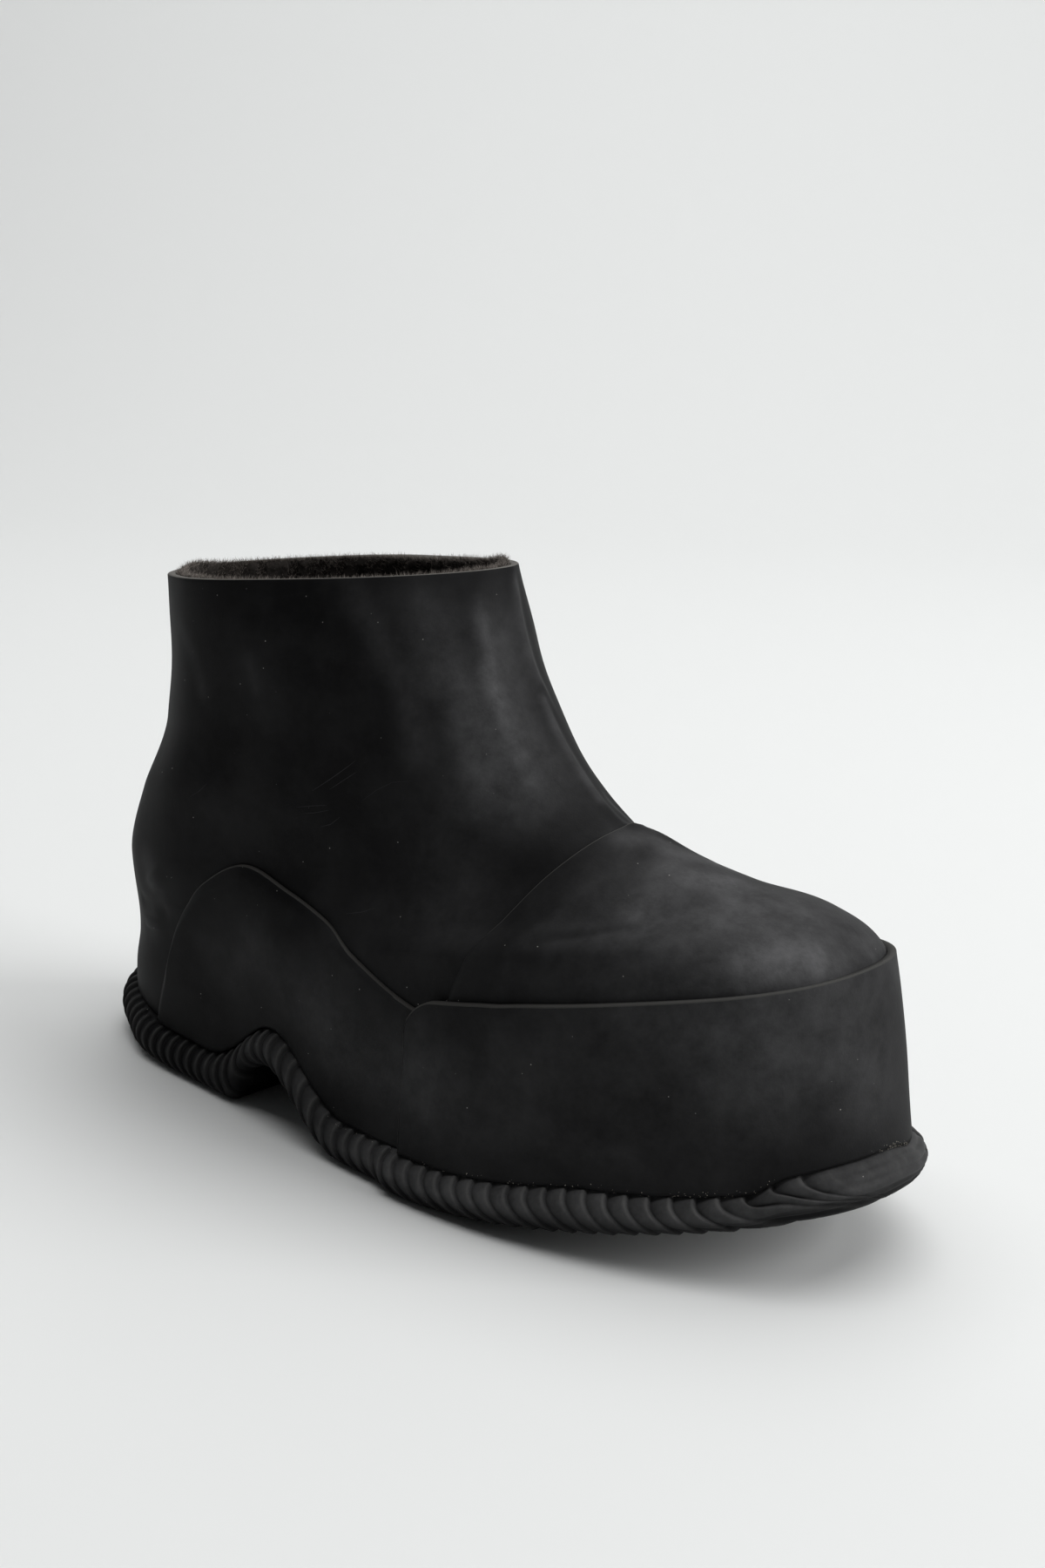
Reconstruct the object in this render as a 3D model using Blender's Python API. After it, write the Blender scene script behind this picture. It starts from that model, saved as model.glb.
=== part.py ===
"""Pull-on rubber ankle boot for the right foot, empty and standing on its sole.

Metres. +X runs from heel to toe, +Y to the wearer's left, +Z up. The origin lies on
the floor under the middle of the boot. A hollow upper is lasted over a raised sole
whose edge is a thick ridged rim. A toe cap, two side panels and a tall toe band are
sheets laid over the upper.

The upper is one surface through a stack of horizontal sections. A point on it is named
by its turn, 0 at the back, 0.5 at the toe and 1 at the back again by way of the wearer's
left, and by its level, 0 at the lower edge and one more at each section above.
"""

from collections import namedtuple

import bmesh
import bpy
import numpy as np

# The last: outer sizes of the upper
LENGTH = 0.280
BALL_WIDTH = 0.093
HEEL_WIDTH = 0.075
INSTEP_HEIGHT = 0.101
COLLAR_HEIGHT = 0.1665
COLLAR_LENGTH = 0.131
COLLAR_WIDTH = 0.076
COLLAR_SLOPE = 0.13
TOE_SWING = 0.0092
HEEL_SWING = 0.0025
SIDE_SHIFT = -0.0023

# The line round the foot that the top of the toe band follows
FOXING_HEIGHT = 0.044
FOXING_SLOPE = 0.22

# Sheets
WALL = 0.0025
OVERLAY = 0.0018
BAND = 0.0022
GAP = 0.0003

# Sole
RIM_RADIUS = 0.0062
RIM_UNDERCUT = 0.0026
RIM_INSET = 0.012
RIDGE_PITCH = 0.0056
RIDGE_DEPTH = 0.0014
RIDGE_SWEEP = 0.0045
FLOOR_FADE = 0.004
TOE_FLOW = 0.045
ARCH_RISE = 0.0181
ARCH_HALF_SPAN = 0.038
TOE_SPRING = 0.0185
HEEL_LIFT = 0.0048
HEEL_SEAT = 0.040
BALL_SEAT = 0.034
CORE_CLEARANCE = 0.0007
INSOLE = 0.004
INSOLE_CLEARANCE = 0.0010
HEEL_CROWD = 0.02

# Places along the boot, as shares of its length
FOXING_LOW = -0.161
ARCH_AT = -0.150
TOE_SPRING_FROM = 0.075
TOE_SPRING_SPAN = 0.372
HEEL_LIFT_FROM = -0.336
HEEL_LIFT_SPAN = 0.153
SWING_FROM = 0.054
SWING_BACK_FROM = -0.082
SWING_SPAN = 0.373
BAND_REAR = 0.063
BAND_CORNER = 0.036
SEAM_REAR = 0.108
SEAT_FALL_FROM = -0.22
SEAT_FALL_SPAN = 0.30
PANEL_FADE = 0.06
BAND_FADE = 0.03

# Shapes of the curves
TOE_SPRING_POWER = 1.67
ARCH_POWER = 3.0
SEAT_SPRING = 0.75
TOE_CROWD = 0.75
WIDEN_FROM = 0.25
WIDEN_TO = 0.70
WAIST_AT = 0.42
WAIST_SPAN = 0.16
SWING_FADE = 1.2
SLOPE_FROM = 0.15

# Sections of the foot. Rise is the share of the way from foxing to instep height, where
# the first only leads the curve into the second; back, front, half widths and waist are
# shares of length, length, heel, ball and ball width.
FootSection = namedtuple(
    "FootSection", "rise back front rear fore rear_turn fore_turn rear_power fore_power waist"
)
FOOT_SECTIONS = (
    FootSection(-0.400, -0.5105, 0.490, 0.475, 0.501, 0.20, 0.33, 2.26, 2.25, 0.026),
    FootSection(0.000, -0.501, 0.455, 0.510, 0.477, 0.20, 0.33, 2.26, 2.37, 0.019),
    FootSection(0.200, -0.496, 0.410, 0.516, 0.474, 0.22, 0.36, 2.20, 2.20, 0.013),
    FootSection(0.380, -0.4935, 0.335, 0.532, 0.399, 0.24, 0.40, 2.20, 2.10, 0.006),
    FootSection(0.650, -0.4935, 0.229, 0.567, 0.358, 0.26, 0.45, 2.10, 2.00, 0.0),
    FootSection(1.000, -0.465, 0.143, 0.572, 0.382, 0.30, 0.50, 2.10, 2.00, 0.0),
)

# Sections of the shaft. Rise is the share of the way from instep to collar height; back
# is a share of the foot's length, reach of the collar's length, widths of the collar's.
ShaftSection = namedtuple("ShaftSection", "rise back reach rear fore rear_turn fore_turn")
SHAFT_SECTIONS = (
    ShaftSection(0.337, -0.4345, 1.105, 0.545, 0.496, 0.38, 0.50),
    ShaftSection(0.638, -0.4327, 1.019, 0.546, 0.513, 0.45, 0.50),
    ShaftSection(1.000, -0.443, 0.990, 0.538, 0.458, 0.50, 0.50),
)
TOP_LEVEL = len(FOOT_SECTIONS) + len(SHAFT_SECTIONS) - 1

# Grid: parts of one side from back to toe, and the levels of the rows
Span = namedtuple("Span", "start end steps")
SIDE_SPANS = (
    Span(0.0, 0.27, 8),
    Span(0.27, 0.55, 13),
    Span(0.55, 0.80, 5),
    Span(0.80, 1.0, 8),
)
ROW_LEVELS = (0.0, 0.5, 1.0, 1.5, 2.1, 2.7, 3.3, 4.0, 5.0, 6.0, 7.0, 8.0)
SEAT_ROWS = (0.0, 0.3, 0.6, 1.0)

# Upper edge of a side panel, seen from the side: x as a share of length, and height as a
# share of instep height
EdgePoint = namedtuple("EdgePoint", "along height")
PANEL_EDGE = (
    EdgePoint(-0.388, 0.0),
    EdgePoint(-0.382, 0.14),
    EdgePoint(-0.350, 0.33),
    EdgePoint(-0.328, 0.48),
    EdgePoint(-0.300, 0.59),
    EdgePoint(-0.264, 0.69),
    EdgePoint(-0.206, 0.777),
    EdgePoint(-0.142, 0.735),
    EdgePoint(-0.078, 0.68),
    EdgePoint(-0.013, 0.61),
    EdgePoint(0.037, 0.560),
    EdgePoint(0.074, 0.537),
    EdgePoint(0.100, 0.535),
)

# Rear edge of the toe cap, seen from the side in the same shares
CAP_EDGE = (
    EdgePoint(SEAM_REAR, 0.0),
    EdgePoint(SEAM_REAR, 0.40),
    EdgePoint(0.110, 0.586),
    EdgePoint(0.126, 0.71),
    EdgePoint(0.144, 0.82),
    EdgePoint(0.162, 0.925),
    EdgePoint(0.190, 1.04),
    EdgePoint(0.214, 1.12),
)

# Section of the ridged rim: angle round it in degrees, share of the ridge's depth, and
# share of its forward sweep
RimPoint = namedtuple("RimPoint", "angle ridge sweep")
RIM_SECTION = (
    RimPoint(72.0, 0.0, 0.0),
    RimPoint(42.0, 0.8, 0.08),
    RimPoint(12.0, 1.0, 0.22),
    RimPoint(-18.0, 1.0, 0.42),
    RimPoint(-48.0, 0.9, 0.68),
)

# One ridge from its raised edge towards the toe: share of the pitch, share of the depth
RidgePoint = namedtuple("RidgePoint", "place depth")
RIDGE = (RidgePoint(0.0, 0.0), RidgePoint(0.45, 0.35), RidgePoint(0.86, 1.0))

EDGE_STEPS = 4
CORNER_STEPS = 6
HALVINGS = 24
LEVEL_STEP = 0.02
TURN_STEP = 0.001
LEVEL_END = 0.6
OVERLAY_TOP_LEVEL = 5.0
BAND_TOP_LEVEL = 1.5
PANEL_TURNS = (0.03, 0.32)
CAP_TURNS = (0.27, 0.73)
BAND_TURNS = (0.16, 0.84)
CUTTER_REACH = 0.12
BELOW_FLOOR = -0.02

RUBBER = (0.013, 0.013, 0.014, 1.0)
FELT = (0.045, 0.040, 0.036, 1.0)
UPPER_ROUGHNESS = 0.55
OVERLAY_ROUGHNESS = 0.5
SOLE_ROUGHNESS = 0.6
FELT_ROUGHNESS = 0.9
SHARP_ANGLE = 35.0


def ease(t):
    """A smooth step from 0 to 1."""
    t = np.clip(t, 0.0, 1.0)
    return t * t * (3.0 - 2.0 * t)


def section_rows():
    """Every section in metres: height, back, front, half widths, turns, powers, waist."""
    rows = []
    for s in FOOT_SECTIONS:
        height = FOXING_HEIGHT + s.rise * (INSTEP_HEIGHT - FOXING_HEIGHT)
        rows.append(
            (height, s.back * LENGTH, s.front * LENGTH, s.rear * HEEL_WIDTH, s.fore * BALL_WIDTH,
             s.rear_turn, s.fore_turn, s.rear_power, s.fore_power, s.waist * BALL_WIDTH)
        )
    for s in SHAFT_SECTIONS:
        height = INSTEP_HEIGHT + s.rise * (COLLAR_HEIGHT - INSTEP_HEIGHT)
        back = s.back * LENGTH
        rows.append(
            (height, back, back + s.reach * COLLAR_LENGTH, s.rear * COLLAR_WIDTH,
             s.fore * COLLAR_WIDTH, s.rear_turn, s.fore_turn, 2.0, 2.0, 0.0)
        )
    return np.array(rows)


SECTIONS = section_rows()


def section_at(level):
    """The section at any level, by a cubic that never swings past the rows beside it."""
    step = np.diff(SECTIONS, axis=0)
    slope = np.zeros_like(SECTIONS)
    same_way = step[:-1] * step[1:] > 0.0
    total = np.where(same_way, step[:-1] + step[1:], 1.0)
    slope[1:-1] = np.where(same_way, 2.0 * step[:-1] * step[1:] / total, 0.0)
    slope[0] = 1.5 * step[0] - 0.5 * step[1]
    slope[-1] = 1.5 * step[-1] - 0.5 * step[-2]
    row = np.minimum(level.astype(int), TOP_LEVEL - 1)
    t = (level - row)[..., None]
    start = SECTIONS[row] * (1.0 + 2.0 * t) * (1.0 - t) ** 2 + slope[row] * t * (1.0 - t) ** 2
    end = SECTIONS[row + 1] * t * t * (3.0 - 2.0 * t) - slope[row + 1] * t * t * (1.0 - t)
    return np.moveaxis(start + end, -1, 0)


def foxing(x):
    """Height of the line that the top of the toe band follows."""
    return FOXING_HEIGHT + FOXING_SLOPE * (x - FOXING_LOW * LENGTH)


def toe_spring(x):
    """Rise of the sole in front of the ball."""
    reach = (x - TOE_SPRING_FROM * LENGTH) / (TOE_SPRING_SPAN * LENGTH)
    return TOE_SPRING * np.clip(reach, 0.0, None) ** TOE_SPRING_POWER


def feather(x):
    """Height of the upper's lower edge: rim, arch, toe spring and rounded heel."""
    from_arch = (x - ARCH_AT * LENGTH) / ARCH_HALF_SPAN
    arch = np.clip(1.0 - from_arch ** 2, 0.0, 1.0) ** ARCH_POWER
    heel = np.clip((HEEL_LIFT_FROM * LENGTH - x) / (HEEL_LIFT_SPAN * LENGTH), 0.0, None) ** 2
    return 2.0 * RIM_RADIUS + ARCH_RISE * arch + toe_spring(x) + HEEL_LIFT * heel


def footbed(x):
    """Height of the sole's upper side inside the boot."""
    fall = ease((x - SEAT_FALL_FROM * LENGTH) / (SEAT_FALL_SPAN * LENGTH))
    return HEEL_SEAT + (BALL_SEAT - HEEL_SEAT) * fall + SEAT_SPRING * toe_spring(x)


def wall(turn, level):
    """A point on the upper's outer side."""
    turn, level = np.broadcast_arrays(np.asarray(turn, float) % 1.0, np.asarray(level, float))
    side = np.where(turn <= 0.5, -1.0, 1.0)
    along = (1.0 - np.cos(2.0 * np.pi * turn)) / 2.0
    (height, back, front, rear, fore, rear_turn, fore_turn, rear_power, fore_power,
     waist) = section_at(level)
    x = back + (front - back) * along
    widen_from = np.minimum(rear_turn, WIDEN_FROM)
    widen_to = np.maximum(1.0 - fore_turn, WIDEN_TO)
    middle = ease((along - widen_from) / (widen_to - widen_from))
    half = rear + (fore - rear) * middle
    half = half + waist * np.exp(-(((along - WAIST_AT) / WAIST_SPAN) ** 2))
    tail = np.clip((rear_turn - along) / rear_turn, 0.0, 1.0)
    nose = np.clip((along - 1.0 + fore_turn) / fore_turn, 0.0, 1.0)
    half = half * (1.0 - tail ** rear_power) ** (1.0 / rear_power)
    half = half * (1.0 - nose ** fore_power) ** (1.0 / fore_power)
    swing = TOE_SWING * ease((x / LENGTH - SWING_FROM) / SWING_SPAN)
    swing = swing + HEEL_SWING * ease((SWING_BACK_FROM - x / LENGTH) / SWING_SPAN)
    y = SIDE_SHIFT + swing * (1.0 - ease(SWING_FADE * level / TOP_LEVEL)) + side * half
    change = ease((level / TOP_LEVEL - SLOPE_FROM) / (1.0 - SLOPE_FROM))
    slope = FOXING_SLOPE + (COLLAR_SLOPE - FOXING_SLOPE) * change
    low = feather(x) + (foxing(x) - feather(x)) * level
    high = height + slope * (x - FOXING_LOW * LENGTH)
    return np.stack([x, y, np.where(level < 1.0, low, high)], axis=-1)


def outward(turn, level):
    """Unit normal of the upper, level at its lower edge so that sheets end square there."""
    turn, level = np.broadcast_arrays(np.asarray(turn, float), np.asarray(level, float))
    lower = np.clip(level - LEVEL_STEP, 0.0, TOP_LEVEL)
    upper = np.clip(level + LEVEL_STEP, 0.0, TOP_LEVEL)
    normal = np.cross(wall(turn + TURN_STEP, level) - wall(turn - TURN_STEP, level),
                      wall(turn, upper) - wall(turn, lower))
    normal[..., 2] *= ease(level / LEVEL_END)
    return normal / np.linalg.norm(normal, axis=-1, keepdims=True)


def skin(turn, level, offset):
    """A point at a distance outside the upper's outer side, or inside it if negative."""
    return wall(turn, level) + offset * outward(turn, level)


def side_turns():
    """Turns of the grid's columns on the wearer's right, from back to toe."""
    turns = [0.0]
    for span in SIDE_SPANS:
        width = (span.end - span.start) / span.steps
        turns += [(span.start + width * (k + 1)) / 2.0 for k in range(span.steps)]
    return turns


SIDE_TURNS = side_turns()
ALL_TURNS = SIDE_TURNS + [1.0 - t for t in SIDE_TURNS[-2:0:-1]]


def add_mesh(name, points, faces, collection):
    """An object from points and faces, its faces turned outwards."""
    mesh = bpy.data.meshes.new(name)
    mesh.from_pydata([tuple(p) for p in points], [], faces)
    bm = bmesh.new()
    bm.from_mesh(mesh)
    bmesh.ops.recalc_face_normals(bm, faces=bm.faces)
    bm.to_mesh(mesh)
    bm.free()
    obj = bpy.data.objects.new(name, mesh)
    collection.objects.link(obj)
    return obj


def finish(obj, colour, roughness):
    """The object's own material."""
    material = bpy.data.materials.new(obj.name)
    material.use_nodes = True
    shader = material.node_tree.nodes["Principled BSDF"]
    shader.inputs["Base Color"].default_value = colour
    shader.inputs["Roughness"].default_value = roughness
    obj.data.materials.append(material)
    obj.data.shade_smooth()
    obj.data.set_sharp_from_angle(angle=np.radians(SHARP_ANGLE))


def sheet(name, turns, levels, inner, outer, collection):
    """A closed sheet on the upper's grid, between two offsets from its outer side."""
    closed = len(turns) == len(ALL_TURNS)
    column, row = np.meshgrid(turns, levels)
    points = np.concatenate([skin(column, row, outer).reshape(-1, 3),
                             skin(column, row, inner).reshape(-1, 3)])
    wide, high = len(turns), len(levels)

    def at(side, j, i):
        return side * wide * high + j * wide + i % wide

    faces = []
    for i in range(wide if closed else wide - 1):
        for j in range(high - 1):
            for side in (0, 1):
                faces.append((at(side, j, i), at(side, j, i + 1), at(side, j + 1, i + 1),
                              at(side, j + 1, i)))
        for j in (0, high - 1):
            faces.append((at(0, j, i), at(0, j, i + 1), at(1, j, i + 1), at(1, j, i)))
    for i in () if closed else (0, wide - 1):
        for j in range(high - 1):
            faces.append((at(0, j, i), at(0, j + 1, i), at(1, j + 1, i), at(1, j, i)))
    return add_mesh(name, points, faces, collection)


def smooth_curve(points):
    """A Catmull-Rom curve through points in the side view."""
    points = np.array(points)
    padded = np.vstack([2 * points[0] - points[1], points, 2 * points[-1] - points[-2]])
    curve = []
    for a, b, c, d in zip(padded[:-3], padded[1:-2], padded[2:-1], padded[3:]):
        for t in np.arange(EDGE_STEPS) / EDGE_STEPS:
            curve.append(0.5 * (2 * b + (c - a) * t + (2 * a - 5 * b + 4 * c - d) * t ** 2
                                + (3 * b - 3 * c + d - a) * t ** 3))
    curve.append(points[-1])
    return curve


def edge_curve(table):
    """A table's edge in metres, x and z."""
    return smooth_curve([(p.along * LENGTH, p.height * INSTEP_HEIGHT) for p in table])


def add_cutter(name, outline, y_from, y_to, collection):
    """A prism along Y over an outline in the side view."""
    bm = bmesh.new()
    face = bm.faces.new([bm.verts.new((x, y_from, z)) for x, z in outline])
    moved = bmesh.ops.extrude_face_region(bm, geom=[face])["geom"]
    corners = [v for v in moved if isinstance(v, bmesh.types.BMVert)]
    bmesh.ops.translate(bm, verts=corners, vec=(0.0, y_to - y_from, 0.0))
    bmesh.ops.recalc_face_normals(bm, faces=bm.faces)
    mesh = bpy.data.meshes.new(name)
    bm.to_mesh(mesh)
    bm.free()
    obj = bpy.data.objects.new(name, mesh)
    obj.hide_render = True
    obj.display_type = "WIRE"
    collection.objects.link(obj)
    return obj


def keep_inside(obj, cutter):
    """Cuts an object down to what lies inside the cutter."""
    cut = obj.modifiers.new("outline", "BOOLEAN")
    cut.operation = "INTERSECT"
    cut.solver = "EXACT"
    cut.object = cutter


def make_upper(parts):
    """The hollow upper, open at the collar and over the sole."""
    upper = sheet("upper", ALL_TURNS, ROW_LEVELS, -WALL, 0.0, parts)
    finish(upper, RUBBER, UPPER_ROUGHNESS)


def overlay_levels(top):
    return [level for level in ROW_LEVELS if level <= top]


def make_toe_cap(parts, cutters):
    """The sheet over the toe, from the instep down to the sole's rim."""
    turns = [t for t in ALL_TURNS if CAP_TURNS[0] <= t <= CAP_TURNS[1]]
    cap = sheet("toe_cap", turns, overlay_levels(OVERLAY_TOP_LEVEL), GAP, GAP + OVERLAY, parts)
    edge = edge_curve(CAP_EDGE)
    outline = [(SEAM_REAR * LENGTH, BELOW_FLOOR), *edge, (LENGTH, edge[-1][1]),
               (LENGTH, BELOW_FLOOR)]
    keep_inside(cap, add_cutter("toe_cap_outline", outline, -CUTTER_REACH, CUTTER_REACH, cutters))
    finish(cap, RUBBER, OVERLAY_ROUGHNESS)


def make_side_panel(name, side, parts, cutters):
    """The sheet along one side of the heel and waist, its front end under the toe band."""
    turns = [t for t in SIDE_TURNS if PANEL_TURNS[0] <= t <= PANEL_TURNS[1]]
    if side > 0:
        turns = [1.0 - t for t in reversed(turns)]
    panel = sheet(name, turns, overlay_levels(OVERLAY_TOP_LEVEL), GAP, GAP + OVERLAY, parts)
    edge = edge_curve(PANEL_EDGE)
    front = SEAM_REAR * LENGTH - 2.0 * GAP
    outline = [(edge[0][0], BELOW_FLOOR), *edge, (front, edge[-1][1]), (front, BELOW_FLOOR)]
    keep_inside(panel, add_cutter(name + "_outline", outline, 0.0, side * CUTTER_REACH, cutters))
    finish(panel, RUBBER, OVERLAY_ROUGHNESS)


def make_toe_band(parts, cutters):
    """The tall band round the toe, over the cap and the front ends of the side panels."""
    turns = [t for t in ALL_TURNS if BAND_TURNS[0] <= t <= BAND_TURNS[1]]
    inner = 2.0 * GAP + OVERLAY
    band = sheet("toe_band", turns, overlay_levels(BAND_TOP_LEVEL), inner, inner + BAND, parts)
    rear = BAND_REAR * LENGTH
    radius = BAND_CORNER * LENGTH
    corner = []
    for angle in np.radians(np.linspace(180.0, 90.0, CORNER_STEPS + 1)):
        x = rear + radius * (1.0 + np.cos(angle))
        corner.append((x, foxing(x) - radius * (1.0 - np.sin(angle))))
    outline = [(rear, BELOW_FLOOR), *corner, (LENGTH, foxing(LENGTH)), (LENGTH, BELOW_FLOOR)]
    keep_inside(band, add_cutter("toe_band_outline", outline, -CUTTER_REACH, CUTTER_REACH, cutters))
    finish(band, RUBBER, OVERLAY_ROUGHNESS)


class EdgeLine:
    """The upper's lower edge on one side, by the distance along it from the back."""

    def __init__(self, side):
        turns = SIDE_TURNS if side < 0 else [1.0 - t for t in SIDE_TURNS]
        self.points = wall(np.array(turns), 0.0)
        self.normals = outward(np.array(turns), 0.0)
        self.cover = sheet_cover(self.points[:, 0])
        steps = np.linalg.norm(np.diff(self.points[:, :2], axis=0), axis=1)
        self.distance = np.concatenate([[0.0], np.cumsum(steps)])
        self.length = self.distance[-1]

    def at(self, distance):
        """Point, outward normal and thickness of the sheets at a distance."""
        def read(column):
            return np.interp(distance, self.distance, column)

        point = np.array([read(self.points[:, k]) for k in range(3)])
        normal = np.array([read(self.normals[:, 0]), read(self.normals[:, 1]), 0.0])
        return point, normal / np.linalg.norm(normal), read(self.cover)


def sheet_cover(x):
    """Thickness of the sheets over the upper at its lower edge, eased from one to the next."""
    panel = ease((x / LENGTH - PANEL_EDGE[0].along) / PANEL_FADE + 1.0)
    band = ease((x / LENGTH - BAND_REAR) / BAND_FADE + 1.0)
    return (GAP + OVERLAY) * panel + (GAP + BAND) * band


def swept(line, distance, share):
    """Where a ridge that starts at a distance has come to, a share of its way down the rim."""
    ahead = line.length - distance
    leave_heel = 1.0 - np.exp(-((distance / HEEL_CROWD) ** 2))
    near_toe = np.exp(-((ahead / TOE_FLOW) ** 2))
    end = (ahead - RIDGE_SWEEP * leave_heel * (1.0 - near_toe)) * (1.0 - TOE_CROWD * near_toe)
    return line.length - ahead - (end - ahead) * share


def rim_line(line, distance, depth):
    """Points down the rim on one grid line, and the outer and inner point of the underside.

    The ridges run on under the sole where it is clear of the floor.
    """
    points = []
    for p in RIM_SECTION:
        point, normal, cover = line.at(swept(line, distance, p.sweep))
        radius = RIM_RADIUS - RIDGE_DEPTH * depth * p.ridge
        angle = np.radians(p.angle)
        out = cover - RIM_UNDERCUT + radius * np.cos(angle)
        up = radius * np.sin(angle) - RIM_RADIUS
        points.append(point + out * normal + np.array([0.0, 0.0, up]))
    point, normal, cover = line.at(swept(line, distance, 1.0))
    clear = ease((point[2] - 2.0 * RIM_RADIUS) / FLOOR_FADE)
    under = point + np.array([0.0, 0.0, RIDGE_DEPTH * depth * clear - 2.0 * RIM_RADIUS])
    points.append(under + (cover - RIM_UNDERCUT) * normal)
    points.append(under - RIM_INSET * normal)
    return points


def side_rim(line):
    """Start distances and points of the rim's grid lines on one side, back to toe."""
    ridges = round(line.length / RIDGE_PITCH)
    pitch = line.length / ridges
    starts, lines = [], []
    for k in range(ridges):
        for r in RIDGE:
            starts.append((k + r.place) * pitch)
            lines.append(rim_line(line, starts[-1], r.depth))
    starts.append(line.length)
    lines.append(rim_line(line, line.length, 0.0))
    return starts, lines


def seat_level(turn, offset, rise):
    """The level where an offset surface meets the footbed raised by a rise, by halving."""
    low = np.zeros_like(turn)
    high = np.full_like(turn, OVERLAY_TOP_LEVEL)
    for _ in range(HALVINGS):
        level = (low + high) / 2.0
        point = skin(turn, level, offset)
        below = point[:, 2] < footbed(point[:, 0]) + rise
        low = np.where(below, level, low)
        high = np.where(below, high, level)
    return level


def zip_loops(inner, inner_places, outer, outer_places):
    """Triangles between two closed loops of points that start side by side."""
    faces = []
    i = j = 0
    while i < len(inner) or j < len(outer):
        next_inner = inner_places[i + 1] if i < len(inner) else np.inf
        next_outer = outer_places[j + 1] if j < len(outer) else np.inf
        a, b = inner[i % len(inner)], outer[j % len(outer)]
        if next_inner <= next_outer:
            faces.append((a, inner[(i + 1) % len(inner)], b))
            i += 1
        else:
            faces.append((a, b, outer[(j + 1) % len(outer)]))
            j += 1
    return faces


def between(lower, upper):
    """Faces between two closed loops of as many points."""
    count = len(lower)
    return [(lower[i], lower[(i + 1) % count], upper[(i + 1) % count], upper[i])
            for i in range(count)]


def across(loop):
    """Faces across a closed loop of points, each point tied to its mirror on the other side."""
    count = len(loop)
    faces = []
    for i in range(count // 2):
        ring = [loop[i], loop[i + 1], loop[-i - 1], loop[-i % count]]
        faces.append(tuple(dict.fromkeys(ring)))
    return faces


def make_outsole(parts):
    """The sole: ridged rim, flat heel and forefoot, arch, and a raised seat inside the upper."""
    right, left = EdgeLine(-1), EdgeLine(1)
    right_starts, right_lines = side_rim(right)
    left_starts, left_lines = side_rim(left)
    lines = right_lines + left_lines[-2:0:-1]
    whole = right.length + left.length
    places = right_starts + [whole - s for s in left_starts[-2:0:-1]] + [whole]

    points = [p for line in lines for p in line]
    high = len(right_lines[0])
    count = len(lines)
    faces = []
    for i in range(count):
        for j in range(high - 1):
            ahead = (i + 1) % count
            faces.append((i * high + j, ahead * high + j, ahead * high + j + 1, i * high + j + 1))
    faces += across([i * high + high - 1 for i in range(count)])

    turns = np.array(ALL_TURNS)
    inset = -(WALL + CORE_CLEARANCE)
    seat = seat_level(turns, inset, 0.0)
    ledge = skin(turns, 0.0, inset) - np.array([0.0, 0.0, GAP])
    around = len(turns)
    loops = []
    for share in SEAT_ROWS:
        loops.append(list(range(len(points), len(points) + around)))
        points += list(skin(turns, share * seat, inset) if share > 0.0 else ledge)
    inner_places = list(right.distance) + [whole - s for s in left.distance[-2::-1]]
    faces += zip_loops(loops[0], inner_places, [i * high for i in range(count)], places)
    for lower, upper in zip(loops[:-1], loops[1:]):
        faces += between(lower, upper)
    faces += across(loops[-1])
    outsole = add_mesh("outsole", points, faces, parts)
    finish(outsole, RUBBER, SOLE_ROUGHNESS)


def make_insole(parts):
    """The padded sheet on the sole's seat."""
    turns = np.array(ALL_TURNS)
    inset = -(WALL + INSOLE_CLEARANCE)
    points = []
    for rise in (GAP, GAP + INSOLE):
        points += list(skin(turns, seat_level(turns, inset, rise), inset))
    around = len(turns)
    lower = list(range(around))
    upper = list(range(around, 2 * around))
    faces = across(lower) + between(lower, upper) + across(upper)
    insole = add_mesh("insole", points, faces, parts)
    finish(insole, FELT, FELT_ROUGHNESS)


def main():
    for obj in list(bpy.data.objects):
        bpy.data.objects.remove(obj)
    parts = bpy.data.collections.new("rubber_ankle_boot")
    cutters = bpy.data.collections.new("cutters")
    bpy.context.scene.collection.children.link(parts)
    bpy.context.scene.collection.children.link(cutters)
    make_outsole(parts)
    make_insole(parts)
    make_upper(parts)
    make_toe_cap(parts, cutters)
    make_side_panel("side_panel_lateral", -1, parts, cutters)
    make_side_panel("side_panel_medial", 1, parts, cutters)
    make_toe_band(parts, cutters)


main()
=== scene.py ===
"""Looks of the rubber ankle boot: fine rubber sheets, ridged sole, pile lining, floor and light.

Metres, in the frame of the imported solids: +X from heel to toe, +Y to the wearer's left,
+Z up. A point of the upper is named by its turn, 0 at the back, 0.5 at the toe and 1 at
the back again by way of the wearer's left, and by its level, 0 at the lower edge, 1 at the
top of the toe band and 8 at the collar.
"""

from collections import namedtuple
from functools import partial

import bpy
import numpy as np
from mathutils import Matrix, Vector


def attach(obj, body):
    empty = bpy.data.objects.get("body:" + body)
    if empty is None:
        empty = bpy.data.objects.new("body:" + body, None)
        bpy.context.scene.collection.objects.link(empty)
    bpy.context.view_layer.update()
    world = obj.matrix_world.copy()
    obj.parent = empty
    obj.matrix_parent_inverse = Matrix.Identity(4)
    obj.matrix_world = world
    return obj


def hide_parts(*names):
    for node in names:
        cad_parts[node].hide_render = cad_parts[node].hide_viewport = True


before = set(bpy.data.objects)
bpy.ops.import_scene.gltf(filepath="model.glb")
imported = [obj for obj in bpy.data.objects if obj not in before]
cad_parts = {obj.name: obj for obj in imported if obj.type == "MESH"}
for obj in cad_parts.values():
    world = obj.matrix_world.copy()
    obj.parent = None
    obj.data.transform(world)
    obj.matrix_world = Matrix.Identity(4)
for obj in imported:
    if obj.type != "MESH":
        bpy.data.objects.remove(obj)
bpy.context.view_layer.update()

MM = 0.001

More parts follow.
